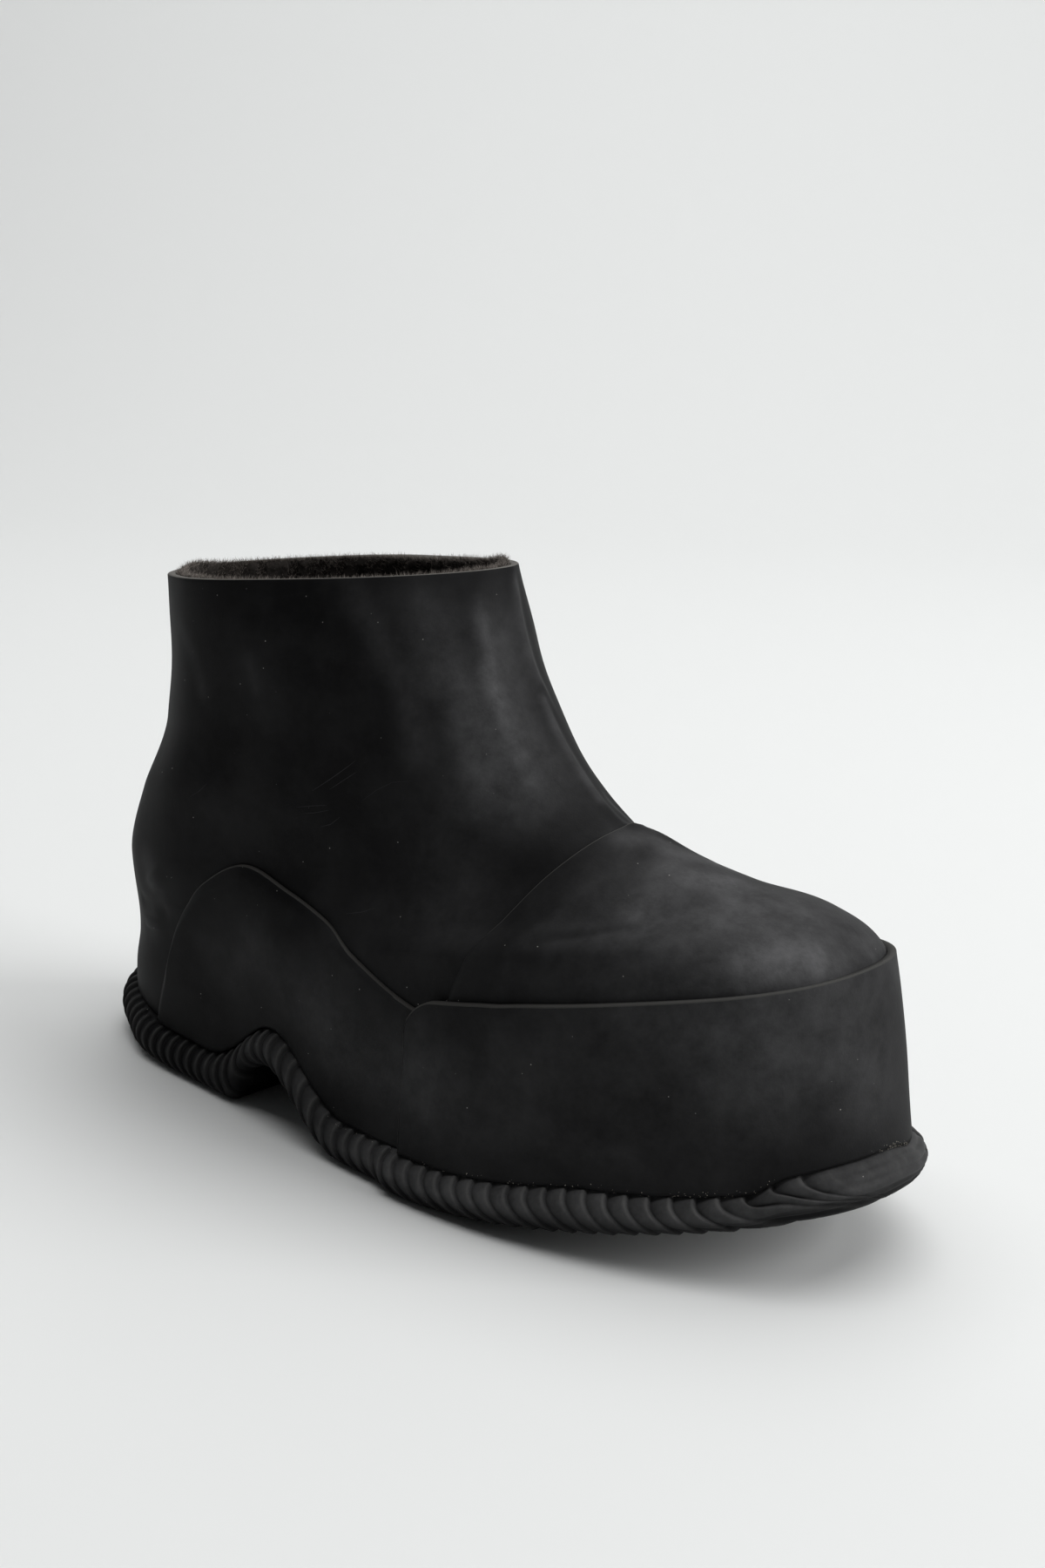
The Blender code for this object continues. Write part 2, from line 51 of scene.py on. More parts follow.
# The last, as in the part's source
LENGTH = 0.280
BALL_WIDTH = 0.093
HEEL_WIDTH = 0.075
INSTEP_HEIGHT = 0.101
COLLAR_HEIGHT = 0.1665
COLLAR_LENGTH = 0.131
COLLAR_WIDTH = 0.076
COLLAR_SLOPE = 0.13
TOE_SWING = 0.0092
HEEL_SWING = 0.0025
SIDE_SHIFT = -0.0023
FOXING_HEIGHT = 0.044
FOXING_SLOPE = 0.22
WALL = 0.0025
OVERLAY = 0.0018
BAND = 0.0022
GAP = 0.0003
EDGE_THINNING = 0.0007
THINNING_SPAN = 0.15
RIM_RADIUS = 0.0062
RIM_UNDERCUT = 0.0014
RIM_INSET = 0.012
RIDGE_PITCH = 0.0054
PITCH_GROWTH = 0.17
RIDGE_DEPTH = 0.0015
RIDGE_CREST = 0.82
RIDGE_SWEEP = 0.0095
HEEL_SWEEP = 0.0040
SWEEP_FROM = 0.130
SWEEP_SPAN = 0.090
FLOOR_FADE = 0.004
TOE_FLOW = 0.036
TOE_SPREAD = 0.009
SMOOTH_TOE = 0.020
FLOW_FROM = 0.048
FLOW_FADE = 0.008
STRAND_DEPTH = 0.0006
STRAND_WIDTH = 7.0
HEEL_REACH = 0.0012
JOINT_DEPTH = 0.0004
ARCH_RISE = 0.0181
ARCH_HALF_SPAN = 0.038
TOE_SPRING = 0.0185
HEEL_LIFT = 0.0048
HEEL_SEAT = 0.040
BALL_SEAT = 0.034
INSOLE = 0.004
HEEL_CROWD = 0.02

# Places along the boot, as shares of its length
FOXING_LOW = -0.161
ARCH_AT = -0.150
TOE_SPRING_FROM = 0.075
TOE_SPRING_SPAN = 0.372
HEEL_LIFT_FROM = -0.336
HEEL_LIFT_SPAN = 0.153
SWING_FROM = 0.054
SWING_BACK_FROM = -0.082
SWING_SPAN = 0.373
BAND_REAR = 0.063
BAND_CORNER = 0.036
SEAM_REAR = 0.108
SEAT_FALL_FROM = -0.22
SEAT_FALL_SPAN = 0.30
PANEL_FADE = 0.06
BAND_FADE = 0.03
BREAST_AT = -0.232
BREAST_SPAN = 0.043

# Shapes of the curves
TOE_SPRING_POWER = 1.67
ARCH_POWER = 3.0
SEAT_SPRING = 0.75
WIDEN_FROM = 0.25
WIDEN_TO = 0.70
WAIST_AT = 0.42
WAIST_SPAN = 0.16
SWING_FADE = 1.2
SLOPE_FROM = 0.15

FootSection = namedtuple(
    "FootSection", "rise back front rear fore rear_turn fore_turn rear_power fore_power waist"
)
FOOT_SECTIONS = [FootSection(*row) for row in (
    (-0.400, -0.5105, 0.490, 0.475, 0.501, 0.20, 0.33, 2.26, 2.25, 0.026),
    (0.000, -0.501, 0.455, 0.510, 0.477, 0.20, 0.33, 2.26, 2.37, 0.019),
    (0.200, -0.496, 0.410, 0.516, 0.474, 0.22, 0.36, 2.20, 2.20, 0.013),
    (0.380, -0.4935, 0.335, 0.532, 0.399, 0.24, 0.40, 2.20, 2.10, 0.006),
    (0.650, -0.4935, 0.229, 0.567, 0.358, 0.26, 0.45, 2.10, 2.00, 0.0),
    (1.000, -0.465, 0.143, 0.572, 0.382, 0.30, 0.50, 2.10, 2.00, 0.0),
)]
ShaftSection = namedtuple("ShaftSection", "rise back reach rear fore rear_turn fore_turn")
SHAFT_SECTIONS = [ShaftSection(*row) for row in (
    (0.337, -0.4345, 1.105, 0.545, 0.496, 0.38, 0.50),
    (0.638, -0.4327, 1.019, 0.546, 0.513, 0.45, 0.50),
    (1.000, -0.443, 0.990, 0.538, 0.458, 0.50, 0.50),
)]
TOP_LEVEL = len(FOOT_SECTIONS) + len(SHAFT_SECTIONS) - 1

# Edges of the overlays in the side view: x as a share of length, height of instep height
EdgePoint = namedtuple("EdgePoint", "along height")
PANEL_EDGE = [EdgePoint(*row) for row in (
    (-0.388, 0.0), (-0.382, 0.14), (-0.350, 0.33), (-0.328, 0.48), (-0.300, 0.59),
    (-0.264, 0.69), (-0.206, 0.777), (-0.142, 0.735), (-0.078, 0.68), (-0.013, 0.61),
    (0.037, 0.560), (0.074, 0.537), (0.110, 0.533),
)]
CAP_EDGE = [EdgePoint(*row) for row in (
    (SEAM_REAR, 0.0), (SEAM_REAR, 0.40), (0.110, 0.586), (0.126, 0.71), (0.144, 0.82),
    (0.162, 0.925), (0.190, 1.04), (0.214, 1.12),
)]

# Rise of the line where the sheets meet the rim, in millimetres, at turns round the boot
RIM_WAVE = (
    (0.0, 0.0), (0.312, 0.0), (0.345, 1.3), (0.363, 0.0), (0.379, -0.9), (0.399, -1.8),
    (0.417, -2.4), (0.437, 1.2), (0.462, 1.5), (0.494, 1.4), (0.526, -1.5), (0.556, -1.1),
    (0.621, 0.0), (1.0, 0.0),
)

# Where a ridge that starts at a distance from the middle of the toe ends, in millimetres
FLOW_ENDS = ((0.0, 0.0), (24.0, 0.8), (38.0, 2.5), (47.0, 34.0), (58.0, 48.5))

# Grooves that run along the rim round the toe: angle in degrees, and how far they reach
# from the middle of the toe, in metres
Strand = namedtuple("Strand", "angle reach")
STRANDS = (Strand(56.0, 0.022), Strand(22.0, 0.028), Strand(-8.0, 0.040), Strand(-26.0, 0.050))

# Creases that a fold and a painted highlight both run along: turn and level
CAP_CREASE = ((0.440, 3.78), (0.422, 3.64), (0.398, 3.45), (0.377, 3.17), (0.361, 2.82),
              (0.343, 2.44), (0.331, 1.89), (0.321, 1.25))
SHAFT_CREASE = ((0.514, 6.2), (0.508, 5.7), (0.505, 5.3), (0.503, 4.8))

# Folds of the rubber: height and half width in millimetres, and the turns and levels of
# the points that the fold runs through. A trough has a height below zero.
Fold = namedtuple("Fold", "height width course")
FOLDS = [Fold(*row) for row in (
    (0.9, 2.4, ((0.526, 7.95), (0.518, 7.5), (0.519, 7.0), (0.521, 6.5), (0.530, 6.0))),
    (-0.8, 5.0, ((0.436, 7.95), (0.437, 7.5), (0.433, 7.1), (0.427, 6.4))),
    (0.7, 4.0, ((0.456, 7.6), (0.450, 6.95), (0.448, 6.25), (0.445, 5.7), (0.440, 5.2))),
    (-0.6, 4.0, ((0.487, 7.5), (0.485, 7.0), (0.489, 6.4), (0.490, 5.9), (0.487, 5.4))),
    (0.8, 2.2, ((0.507, 6.8), *SHAFT_CREASE, (0.501, 4.45), (0.520, 4.25), (0.548, 3.9),
                (0.566, 3.5))),
    (-1.0, 4.5, ((0.535, 5.0), (0.555, 4.4), (0.585, 3.8), (0.600, 3.4))),
    (1.0, 6.0, ((0.600, 4.7), (0.620, 4.1), (0.635, 3.6))),
    (0.8, 4.5, ((0.462, 3.95), *CAP_CREASE, (0.315, 0.8))),
    (-0.8, 1.8, ((0.346, 2.34), (0.362, 2.45), (0.378, 2.51), (0.401, 2.56), (0.419, 2.81),
                 (0.439, 2.96), (0.462, 2.98))),
    (0.8, 6.0, ((0.384, 2.80), (0.403, 2.95), (0.445, 3.36), (0.500, 3.6))),
    (0.5, 7.0, ((0.430, 1.5), (0.452, 1.4), (0.475, 1.35))),
    (0.8, 6.0, ((0.134, 3.75), (0.138, 3.4))),
    (-0.6, 3.0, ((0.095, 3.1), (0.120, 2.95), (0.140, 2.8))),
    (0.6, 5.0, ((0.111, 2.6), (0.111, 2.2))),
)]
BAND_FOLD = Fold(-0.5, 3.0, ((0.2935, 1.1), (0.2915, 0.8), (0.290, 0.55), (0.285, 0.25)))

# Grey bloom and painted highlights on fold crests and lit parts: strength, half width in
# millimetres and course, as for folds
BloomAndHighlight = namedtuple("BloomAndHighlight", "strength width course")
BLOOMS_AND_HIGHLIGHTS = [BloomAndHighlight(*row) for row in (
    (0.16, 5.0, ((0.342, 7.8), (0.362, 7.2), (0.372, 6.7), (0.371, 6.2), (0.363, 5.7))),
    (0.20, 8.0, ((0.398, 7.6), (0.404, 6.9), (0.417, 6.6), (0.415, 6.0), (0.400, 5.2))),
    (0.20, 2.5, ((0.462, 7.6), (0.461, 7.3), (0.461, 7.0), (0.455, 6.5))),
    (0.24, 2.5, ((0.450, 6.8), (0.448, 6.2), (0.445, 5.7), (0.440, 5.2))),
    (0.30, 1.6, SHAFT_CREASE),
    (0.25, 2.0, ((0.526, 7.8), (0.518, 7.5), (0.519, 7.0), (0.521, 6.5))),
    (0.10, 3.0, ((0.155, 7.4), (0.181, 7.0), (0.192, 6.5))),
    (0.08, 2.5, ((0.246, 7.0), (0.249, 6.6))),
    (0.22, 5.0, ((0.134, 3.9), (0.135, 3.5))),
    (0.22, 4.0, ((0.114, 2.8), (0.114, 2.2))),
    (0.12, 16.0, ((0.400, 5.2), (0.350, 4.5), (0.325, 3.5))),
    (0.32, 14.0, ((0.470, 7.0), (0.450, 6.0), (0.440, 5.2))),
    (0.05, 10.0, ((0.290, 3.3), (0.315, 2.9))),
    (0.16, 10.0, ((0.199, 2.0), (0.219, 0.9), (0.235, 0.6))),
    (0.10, 9.0, ((0.171, 1.9), (0.180, 1.2))),
    (0.40, 5.0, ((0.478, 4.2), (0.508, 4.1), (0.505, 3.8), (0.545, 3.4))),
    (0.45, 5.0, ((0.465, 3.6), (0.485, 3.4), (0.510, 3.2))),
    (0.24, 2.2, ((0.455, 3.9), *CAP_CREASE)),
    (0.26, 5.0, ((0.427, 3.2), (0.406, 2.9))),
    (0.28, 26.0, ((0.400, 2.6), (0.440, 2.0))),
    (0.30, 18.0, ((0.474, 2.8), (0.505, 2.2), (0.519, 1.4))),
    (0.20, 7.0, ((0.430, 1.4), (0.452, 1.36), (0.470, 1.35))),
    (0.34, 6.0, ((0.440, 1.45), (0.452, 1.4), (0.468, 1.35))),
    (0.32, 3.5, ((0.286, 0.9), (0.284, 0.5), (0.286, 0.3))),
    (0.14, 5.0, ((0.318, 0.9), (0.318, 0.6))),
    (0.16, 6.0, ((0.372, 0.87), (0.403, 0.86), (0.423, 0.88))),
    (0.28, 16.0, ((0.430, 0.6), (0.473, 0.7), (0.489, 0.4))),
    (0.13, 24.0, ((0.290, 0.5), (0.350, 0.5), (0.410, 0.5))),
    (0.16, 12.0, ((0.240, 1.0), (0.250, 0.5), (0.285, 0.5))),
    (0.12, 6.0, ((0.304, 0.28), (0.366, 0.18))),
)]

# Tufts of pile that stand over the collar: turn, half width in turns and rise in levels
Tuft = namedtuple("Tuft", "turn span rise")
TUFTS = (Tuft(0.595, 0.045, 0.07), Tuft(0.680, 0.040, 0.03), Tuft(0.030, 0.045, 0.05))

# Scratches, thin pale lines: half width in millimetres and course
Scratch = namedtuple("Scratch", "width course")
SCRATCHES = [Scratch(*row) for row in (
    (0.30, ((0.276, 5.14), (0.295, 5.35), (0.313, 5.55))),
    (0.25, ((0.288, 5.16), (0.300, 5.29), (0.311, 5.40))),
    (0.16, ((0.307, 5.00), (0.320, 5.15), (0.334, 5.26), (0.351, 5.28))),
    (0.25, ((0.262, 4.90), (0.272, 4.92), (0.282, 4.93))),
    (0.22, ((0.263, 4.80), (0.273, 4.82), (0.283, 4.86))),
    (0.25, ((0.273, 4.61), (0.280, 4.65), (0.288, 4.76))),
    (0.30, ((0.260, 3.09), (0.269, 3.14), (0.278, 3.24))),
    (0.12, ((0.482, 7.77), (0.482, 7.53))),
    (0.12, ((0.476, 5.40), (0.464, 5.16), (0.469, 4.99))),
    (0.16, ((0.183, 5.01), (0.192, 5.11), (0.198, 5.22))),
)]

# Cut edges and laid sheets
ROUNDING = np.radians((0.0, 30.0, 60.0, 90.0))
CUT_RADIUS = 0.5 * MM
SHEET_RADIUS = 0.45 * MM
SHEET_SINK = 0.1 * MM
BAND_SINK = 0.2 * MM
PANEL_INSET = 0.6 * MM
PANEL_HIGH = 4.5
PANEL_LEAST = 0.03
CAP_LOW = 0.6
CAP_HIGH = 5.2
CAP_LEAST = 0.4
BAND_HIGH = 1.3
PANEL_CROWD = 1.15
CAP_CROWD = 0.6
BAND_CROWD = 0.7

# Relief of the rubber
WAVES = 9
WAVELENGTHS = (0.022, 0.060)
WAVE_HEIGHT = 0.09 * MM
FOLD_END = 0.2
FOLD_REST = 0.25

# Pile: levels, depths behind the upper's outer side, relief and hairs
PILE_LOW = 0.9
PILE_DEPTH = 2.4 * MM
PILE_BACK = 0.5 * MM
PILE_WAVES = 14
PILE_RELIEF = 0.22 * MM
HAIR_HALF_WIDTHS = (0.05, 0.10)
HAIR_LENGTHS = (0.5, 1.3)
COLLAR_HAIRS = 46000
COLLAR_HAIR = 2.1 * MM
COLLAR_HAIR_DEPTH = 0.8
SHAFT_HAIRS = 24000
SHAFT_HAIR = 2.2 * MM
SHAFT_HAIRS_FROM = 4.0

# Steps of the turn and the level for the upper's normal, which stays level low down
NEAR_TURN = 0.001
NEAR_LEVEL = 0.02
LEVEL_BELOW = 0.6

# Grids
HALVINGS = 26
CURVE_STEPS = 12
LINE_POINTS = 400
UPPER_INNER_ROWS = 60
LINING_COLUMNS = 260
LINING_ROWS = 80
LINING_BACK_ROWS = 24
INSOLE_RINGS = 24
UNDERSIDE_ROWS = 24
INSET_ROWS = 8
UPPER_COLUMNS = 440
UPPER_ROWS = 130
CAP_COLUMNS = 260
CAP_ROWS = 90
PANEL_COLUMNS = 170
PANEL_ROWS = 76
BAND_COLUMNS = 300
BAND_ROWS = 56
RIDGE_PLACES = (0.0, 0.05, 0.12, 0.20, 0.30, 0.41, 0.52, 0.63, 0.73, 0.81, 0.87, 0.94)
RIM_TOP = 96.0
RIM_SIDE_ROWS = 36
RIM_UNDER_ROWS = 5
RIM_UNDER = -50.0
RIM_TILT = 22.0
SEED = 5

# Shape of the rim's ridges, their wear with a painted glint on the crests, and their dust with
# painted light and shade
RISE_POWER = 0.75
FALL_POWER = 1.6
UNEVEN = (0.8, 1.15)
CREST_WEAR_AND_GLINT = 0.08
FLOW_POWER = 2.2
SMOOTH_FADE = 0.006
SOLE_DUST_AND_LIGHT = 0.46

# Colours shared by the rubbers, and their sheen; the worn colour is also a painted glint on crests
SPECULAR = 0.045
CLOUDINESS = 0.14
WORN_AND_GLINTING_RUBBER = (0.085, 0.084, 0.082)
DUST = (0.45, 0.44, 0.42)

# Camera, floor and light
CAMERA_AT = Vector((0.41160, -0.46316, 0.27408))
CAMERA_YAW = 130.60
CAMERA_PITCH = -14.997
CAMERA_ROLL = 2.115
LENS = 50.0
SENSOR = 36.0
FLOOR_NEAR = -3.0
FLOOR_BACK = 2.2
FLOOR_BEND = 1.0
BACKDROP_HEIGHT = 5.0
FLOOR_SIDES = (-5.0, 5.0)
ROOM_COLOUR = (0.93, 0.95, 0.96, 1.0)
ROOM_LIGHT = 0.06


def ease(t):
    """A smooth step from 0 to 1."""
    t = np.clip(t, 0.0, 1.0)
    return t * t * (3.0 - 2.0 * t)


def bell(t):
    """A smooth hump of height 1 around 0."""
    return np.exp(-(t ** 2))


def unit(vectors):
    """The vectors at length 1."""
    return vectors / np.linalg.norm(vectors, axis=-1, keepdims=True)


def section_rows():
    """Every section in metres: height, back, front, half widths, turns, powers, waist."""
    rows = []
    for s in FOOT_SECTIONS:
        height = FOXING_HEIGHT + s.rise * (INSTEP_HEIGHT - FOXING_HEIGHT)
        rows.append(
            (height, s.back * LENGTH, s.front * LENGTH, s.rear * HEEL_WIDTH, s.fore * BALL_WIDTH,
             s.rear_turn, s.fore_turn, s.rear_power, s.fore_power, s.waist * BALL_WIDTH)
        )
    for s in SHAFT_SECTIONS:
        height = INSTEP_HEIGHT + s.rise * (COLLAR_HEIGHT - INSTEP_HEIGHT)
        back = s.back * LENGTH
        rows.append(
            (height, back, back + s.reach * COLLAR_LENGTH, s.rear * COLLAR_WIDTH,
             s.fore * COLLAR_WIDTH, s.rear_turn, s.fore_turn, 2.0, 2.0, 0.0)
        )
    return np.array(rows)


SECTIONS = section_rows()


def section_at(level):
    """The section at any level, by a cubic that never swings past the rows beside it."""
    step = np.diff(SECTIONS, axis=0)
    slope = np.zeros_like(SECTIONS)
    same_way = step[:-1] * step[1:] > 0.0
    total = np.where(same_way, step[:-1] + step[1:], 1.0)
    slope[1:-1] = np.where(same_way, 2.0 * step[:-1] * step[1:] / total, 0.0)
    slope[0] = 1.5 * step[0] - 0.5 * step[1]
    slope[-1] = 1.5 * step[-1] - 0.5 * step[-2]
    row = np.minimum(level.astype(int), TOP_LEVEL - 1)
    t = (level - row)[..., None]
    start = SECTIONS[row] * (1.0 + 2.0 * t) * (1.0 - t) ** 2 + slope[row] * t * (1.0 - t) ** 2
    end = SECTIONS[row + 1] * t * t * (3.0 - 2.0 * t) - slope[row + 1] * t * t * (1.0 - t)
    return np.moveaxis(start + end, -1, 0)


def foxing(x):
    """Height of the line that the top of the toe band follows."""
    return FOXING_HEIGHT + FOXING_SLOPE * (x - FOXING_LOW * LENGTH)


def toe_spring(x):
    """Rise of the sole in front of the ball."""
    reach = (x - TOE_SPRING_FROM * LENGTH) / (TOE_SPRING_SPAN * LENGTH)
    return TOE_SPRING * np.clip(reach, 0.0, None) ** TOE_SPRING_POWER


def heel_lift(x):
    """Rise of the sole's rounded back."""
    behind = (HEEL_LIFT_FROM * LENGTH - x) / (HEEL_LIFT_SPAN * LENGTH)
    return HEEL_LIFT * np.clip(behind, 0.0, None) ** 2


def feather(x):
    """Height of the upper's lower edge: rim, arch, toe spring and rounded heel."""
    from_arch = (x - ARCH_AT * LENGTH) / ARCH_HALF_SPAN
    arch = np.clip(1.0 - from_arch ** 2, 0.0, 1.0) ** ARCH_POWER
    return 2.0 * RIM_RADIUS + ARCH_RISE * arch + toe_spring(x) + heel_lift(x)


def tread(x):
    """Height of the sole's underside, with a steep breast at the front of the heel."""
    breast = ease((x / LENGTH - BREAST_AT) / BREAST_SPAN)
    free = toe_spring(x) + heel_lift(x)
    return free + (feather(x) - 2.0 * RIM_RADIUS - free) * breast


def footbed(x):
    """Height of the sole's upper side inside the boot."""
    fall = ease((x - SEAT_FALL_FROM * LENGTH) / (SEAT_FALL_SPAN * LENGTH))
    return HEEL_SEAT + (BALL_SEAT - HEEL_SEAT) * fall + SEAT_SPRING * toe_spring(x)


def rim_wave(turn):
    """Rise of the rim's joint over its plain line."""
    turns, heights = np.array(RIM_WAVE).T
    row = np.clip(np.searchsorted(turns, turn, side="right") - 1, 0, len(turns) - 2)
    share = ease((turn - turns[row]) / (turns[row + 1] - turns[row]))
    return MM * (heights[row] + (heights[row + 1] - heights[row]) * share)


def wall(turn, level):
    """A point on the upper's outer side."""
    turn, level = np.broadcast_arrays(np.asarray(turn, float) % 1.0, np.asarray(level, float))
    side = np.where(turn <= 0.5, -1.0, 1.0)
    along = (1.0 - np.cos(2.0 * np.pi * turn)) / 2.0
    (height, back, front, rear, fore, rear_turn, fore_turn, rear_power, fore_power,
     waist) = section_at(level)
    x = back + (front - back) * along
    widen_from = np.minimum(rear_turn, WIDEN_FROM)
    widen_to = np.maximum(1.0 - fore_turn, WIDEN_TO)
    middle = ease((along - widen_from) / (widen_to - widen_from))
    half = rear + (fore - rear) * middle
    half = half + waist * bell((along - WAIST_AT) / WAIST_SPAN)
    tail = np.clip((rear_turn - along) / rear_turn, 0.0, 1.0)
    nose = np.clip((along - 1.0 + fore_turn) / fore_turn, 0.0, 1.0)
    half = half * (1.0 - tail ** rear_power) ** (1.0 / rear_power)
    half = half * (1.0 - nose ** fore_power) ** (1.0 / fore_power)
    swing = TOE_SWING * ease((x / LENGTH - SWING_FROM) / SWING_SPAN)
    swing = swing + HEEL_SWING * ease((SWING_BACK_FROM - x / LENGTH) / SWING_SPAN)
    y = SIDE_SHIFT + swing * (1.0 - ease(SWING_FADE * level / TOP_LEVEL)) + side * half
    change = ease((level / TOP_LEVEL - SLOPE_FROM) / (1.0 - SLOPE_FROM))
    slope = FOXING_SLOPE + (COLLAR_SLOPE - FOXING_SLOPE) * change
    edge = feather(x) + rim_wave(turn)
    low = edge + (foxing(x) - edge) * level
    high = height + slope * (x - FOXING_LOW * LENGTH)
    return np.stack([x, y, np.where(level < 1.0, low, high)], axis=-1)


def outward(turn, level):
    """Unit normal of the upper, level at its lower edge."""
    turn, level = np.broadcast_arrays(np.asarray(turn, float), np.asarray(level, float))
    lower = np.clip(level - NEAR_LEVEL, 0.0, TOP_LEVEL - NEAR_LEVEL)
    upper = np.clip(level + NEAR_LEVEL, NEAR_LEVEL, TOP_LEVEL)
    normal = np.cross(wall(turn + NEAR_TURN, level) - wall(turn - NEAR_TURN, level),
                      wall(turn, upper) - wall(turn, lower))
    normal[..., 2] *= ease(level / LEVEL_BELOW)
    return unit(normal)


def distance_to_course(points, course):
    """Distance from points to the line through a fold's turns and levels, and the share of
    the line's length passed at the nearest place."""
    corners = wall([c[0] for c in course], [c[1] for c in course])
    lengths = np.linalg.norm(np.diff(corners, axis=0), axis=1)
    passed = np.concatenate([[0.0], np.cumsum(lengths)])
    nearest = np.full(points.shape[:-1], np.inf)
    share = np.zeros(points.shape[:-1])
    for a, b, length, start in zip(corners[:-1], corners[1:], lengths, passed):
        t = np.clip(((points - a) @ (b - a)) / length ** 2, 0.0, 1.0)
        distance = np.linalg.norm(points - a - t[..., None] * (b - a), axis=-1)
        closer = distance < nearest
        nearest = np.where(closer, distance, nearest)
        share = np.where(closer, (start + t * length) / passed[-1], share)
    return nearest, share


def fold_relief(points, folds):
    """Height of the folds at points, a soft hump or trough that fades out at its ends."""
    relief = np.zeros(points.shape[:-1])
    for fold in folds:
        distance, share = distance_to_course(points, fold.course)
        ends = ease(share / FOLD_END) * ease((1.0 - share) / FOLD_END)
        ends = FOLD_REST + (1.0 - FOLD_REST) * ends
        relief += fold.height * MM * ends * bell(distance / (fold.width * MM))
    return relief


def bloom_at(points):
    """Strength of the grey bloom and the painted highlights at points, 0 to 1."""
    amount = np.zeros(points.shape[:-1])
    for bloom in BLOOMS_AND_HIGHLIGHTS:
        distance = distance_to_course(points, bloom.course)[0]
        amount += bloom.strength * bell(distance / (bloom.width * MM))
    return np.clip(amount, 0.0, 1.0)


def waviness(points):
    """Slow unevenness of rubber sheets laid by hand."""
    rng = np.random.default_rng(SEED)
    relief = np.zeros(points.shape[:-1])
    for _ in range(WAVES):
        direction = rng.normal(size=3)
        wavelength = rng.uniform(*WAVELENGTHS)
        wave = points @ (direction / np.linalg.norm(direction)) * 2.0 * np.pi / wavelength
        relief += WAVE_HEIGHT * np.sin(wave + rng.uniform(0.0, 2.0 * np.pi))
    return relief


def skin(turn, level, offset, folds=FOLDS):
    """A point at a distance outside the upper's outer side, with its folds."""
    base = wall(turn, level)
    relief = fold_relief(base, folds) + waviness(base)
    return base + (offset + relief)[..., None] * outward(turn, level)


def grid_faces(high, wide, closed=False, start=0):
    """Quads of a grid of points stored row by row, facing out where turn runs to the right."""
    columns = np.arange(wide if closed else wide - 1)
    rows = np.arange(high - 1)
    column, row = np.meshgrid(columns, rows)
    after = (column + 1) % wide
    quads = np.stack([row * wide + column, row * wide + after,
                      (row + 1) * wide + after, (row + 1) * wide + column], axis=-1)
    return start + quads.reshape(-1, 4)


def tube_faces(high, wide):
    """Quads of rows that run right round the boot, with the last row joined to the first."""
    last, column = (high - 1) * wide, np.arange(wide)
    after = (column + 1) % wide
    seam = np.stack([last + column, last + after, after, column], axis=-1)
    return np.concatenate([grid_faces(high, wide, closed=True), seam])


def add_object(name, data):
    """An object in the scene that shows a mesh, a light or a camera."""
    item = bpy.data.objects.new(name, data)
    bpy.context.scene.collection.objects.link(item)
    return item


def add_piece(name, points, faces, materials, face_materials=None, **amounts):
    """An object from arrays of points and faces, with an amount a point for its materials."""
    mesh = bpy.data.meshes.new(name)
    mesh.from_pydata(np.asarray(points).tolist(), [], [list(f) for f in faces])
    for key, values in amounts.items():
        mesh.attributes.new(key, "FLOAT", "POINT").data.foreach_set("value", values)
    for material in materials:
        mesh.materials.append(material)
    if face_materials is not None:
        mesh.polygons.foreach_set("material_index", np.asarray(face_materials, dtype=np.int32))
    mesh.shade_smooth()
    piece = add_object(name, mesh)
    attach(piece, "root")
    return piece


def lay_sheet(name, turns, levels, outer, inner, radius, folds=FOLDS):
    """A closed rubber sheet over the upper with rounded cut edges.

    turns and levels are grids, row by row from the lower edge. The upper edge and both ends
    are cut edges.
    """
    high, wide = turns.shape
    face = skin(turns, levels, outer, folds)
    back = skin(turns, levels, inner, folds)
    normals = outward(turns, levels)

    left = [(j, 0) for j in range(high)]
    top = [(high - 1, i) for i in range(1, wide)]
    right = [(j, wide - 1) for j in range(high - 2, -1, -1)]
    rim = np.array(left + top + right)
    edge = face[rim[:, 0], rim[:, 1]]
    normal = normals[rim[:, 0], rim[:, 1]]
    along = np.gradient(edge, axis=0)
    along /= np.maximum(np.linalg.norm(along, axis=1, keepdims=True), 1e-9)
    inwards = np.cross(along, normal)
    span = np.minimum(radius, 0.4 * np.linalg.norm(edge - back[rim[:, 0], rim[:, 1]], axis=1))
    span = span[:, None]

    points = [face.reshape(-1, 3), back.reshape(-1, 3)]
    face_index = rim[:, 0] * wide + rim[:, 1]
    loops = [face_index]
    count = 2 * high * wide
    for angle in ROUNDING:
        ring = edge + inwards * span * (1.0 - np.sin(angle)) - normal * span * (1.0 - np.cos(angle))
        if angle == 0.0:
            points[0][face_index] = ring
            continue
        points.append(ring)
        loops.append(np.arange(count, count + len(rim)))
        count += len(rim)
    loops.append(high * wide + face_index)

    outside = grid_faces(high, wide)
    inside = grid_faces(high, wide, start=high * wide)[:, ::-1]
    around = []
    for upper, lower in zip(loops[:-1], loops[1:]):
        around.append(np.stack([upper[1:], lower[1:], lower[:-1], upper[:-1]], axis=-1))
    bottom = np.stack([np.arange(wide - 1) + 1, np.arange(wide - 1),
                       high * wide + np.arange(wide - 1),
                       high * wide + np.arange(wide - 1) + 1], axis=-1)
    faces = [outside, inside, *around, bottom]
    # Cut-edge faces take the lighter cut-edge rubber, a painted highlight
    kinds = [0, 0, *([1] * len(around)), 0]
    kind = np.concatenate([np.full(len(f), k) for f, k in zip(faces, kinds)])
    corners = [[loop[0] for loop in loops], [loop[-1] for loop in loops][::-1]]
    points = np.concatenate(points)
    return add_piece(name, points, np.concatenate(faces).tolist() + corners,
                     [RUBBER, HIGHLIT_CUT_RUBBER], np.append(kind, (1, 1)), bloom=bloom_at(points))


def thinned(levels, top):
    """Distance of a sheet's outer side from the upper, less near its upper edge."""
    return GAP + OVERLAY - EDGE_THINNING * bell((top[None] - levels) / THINNING_SPAN)


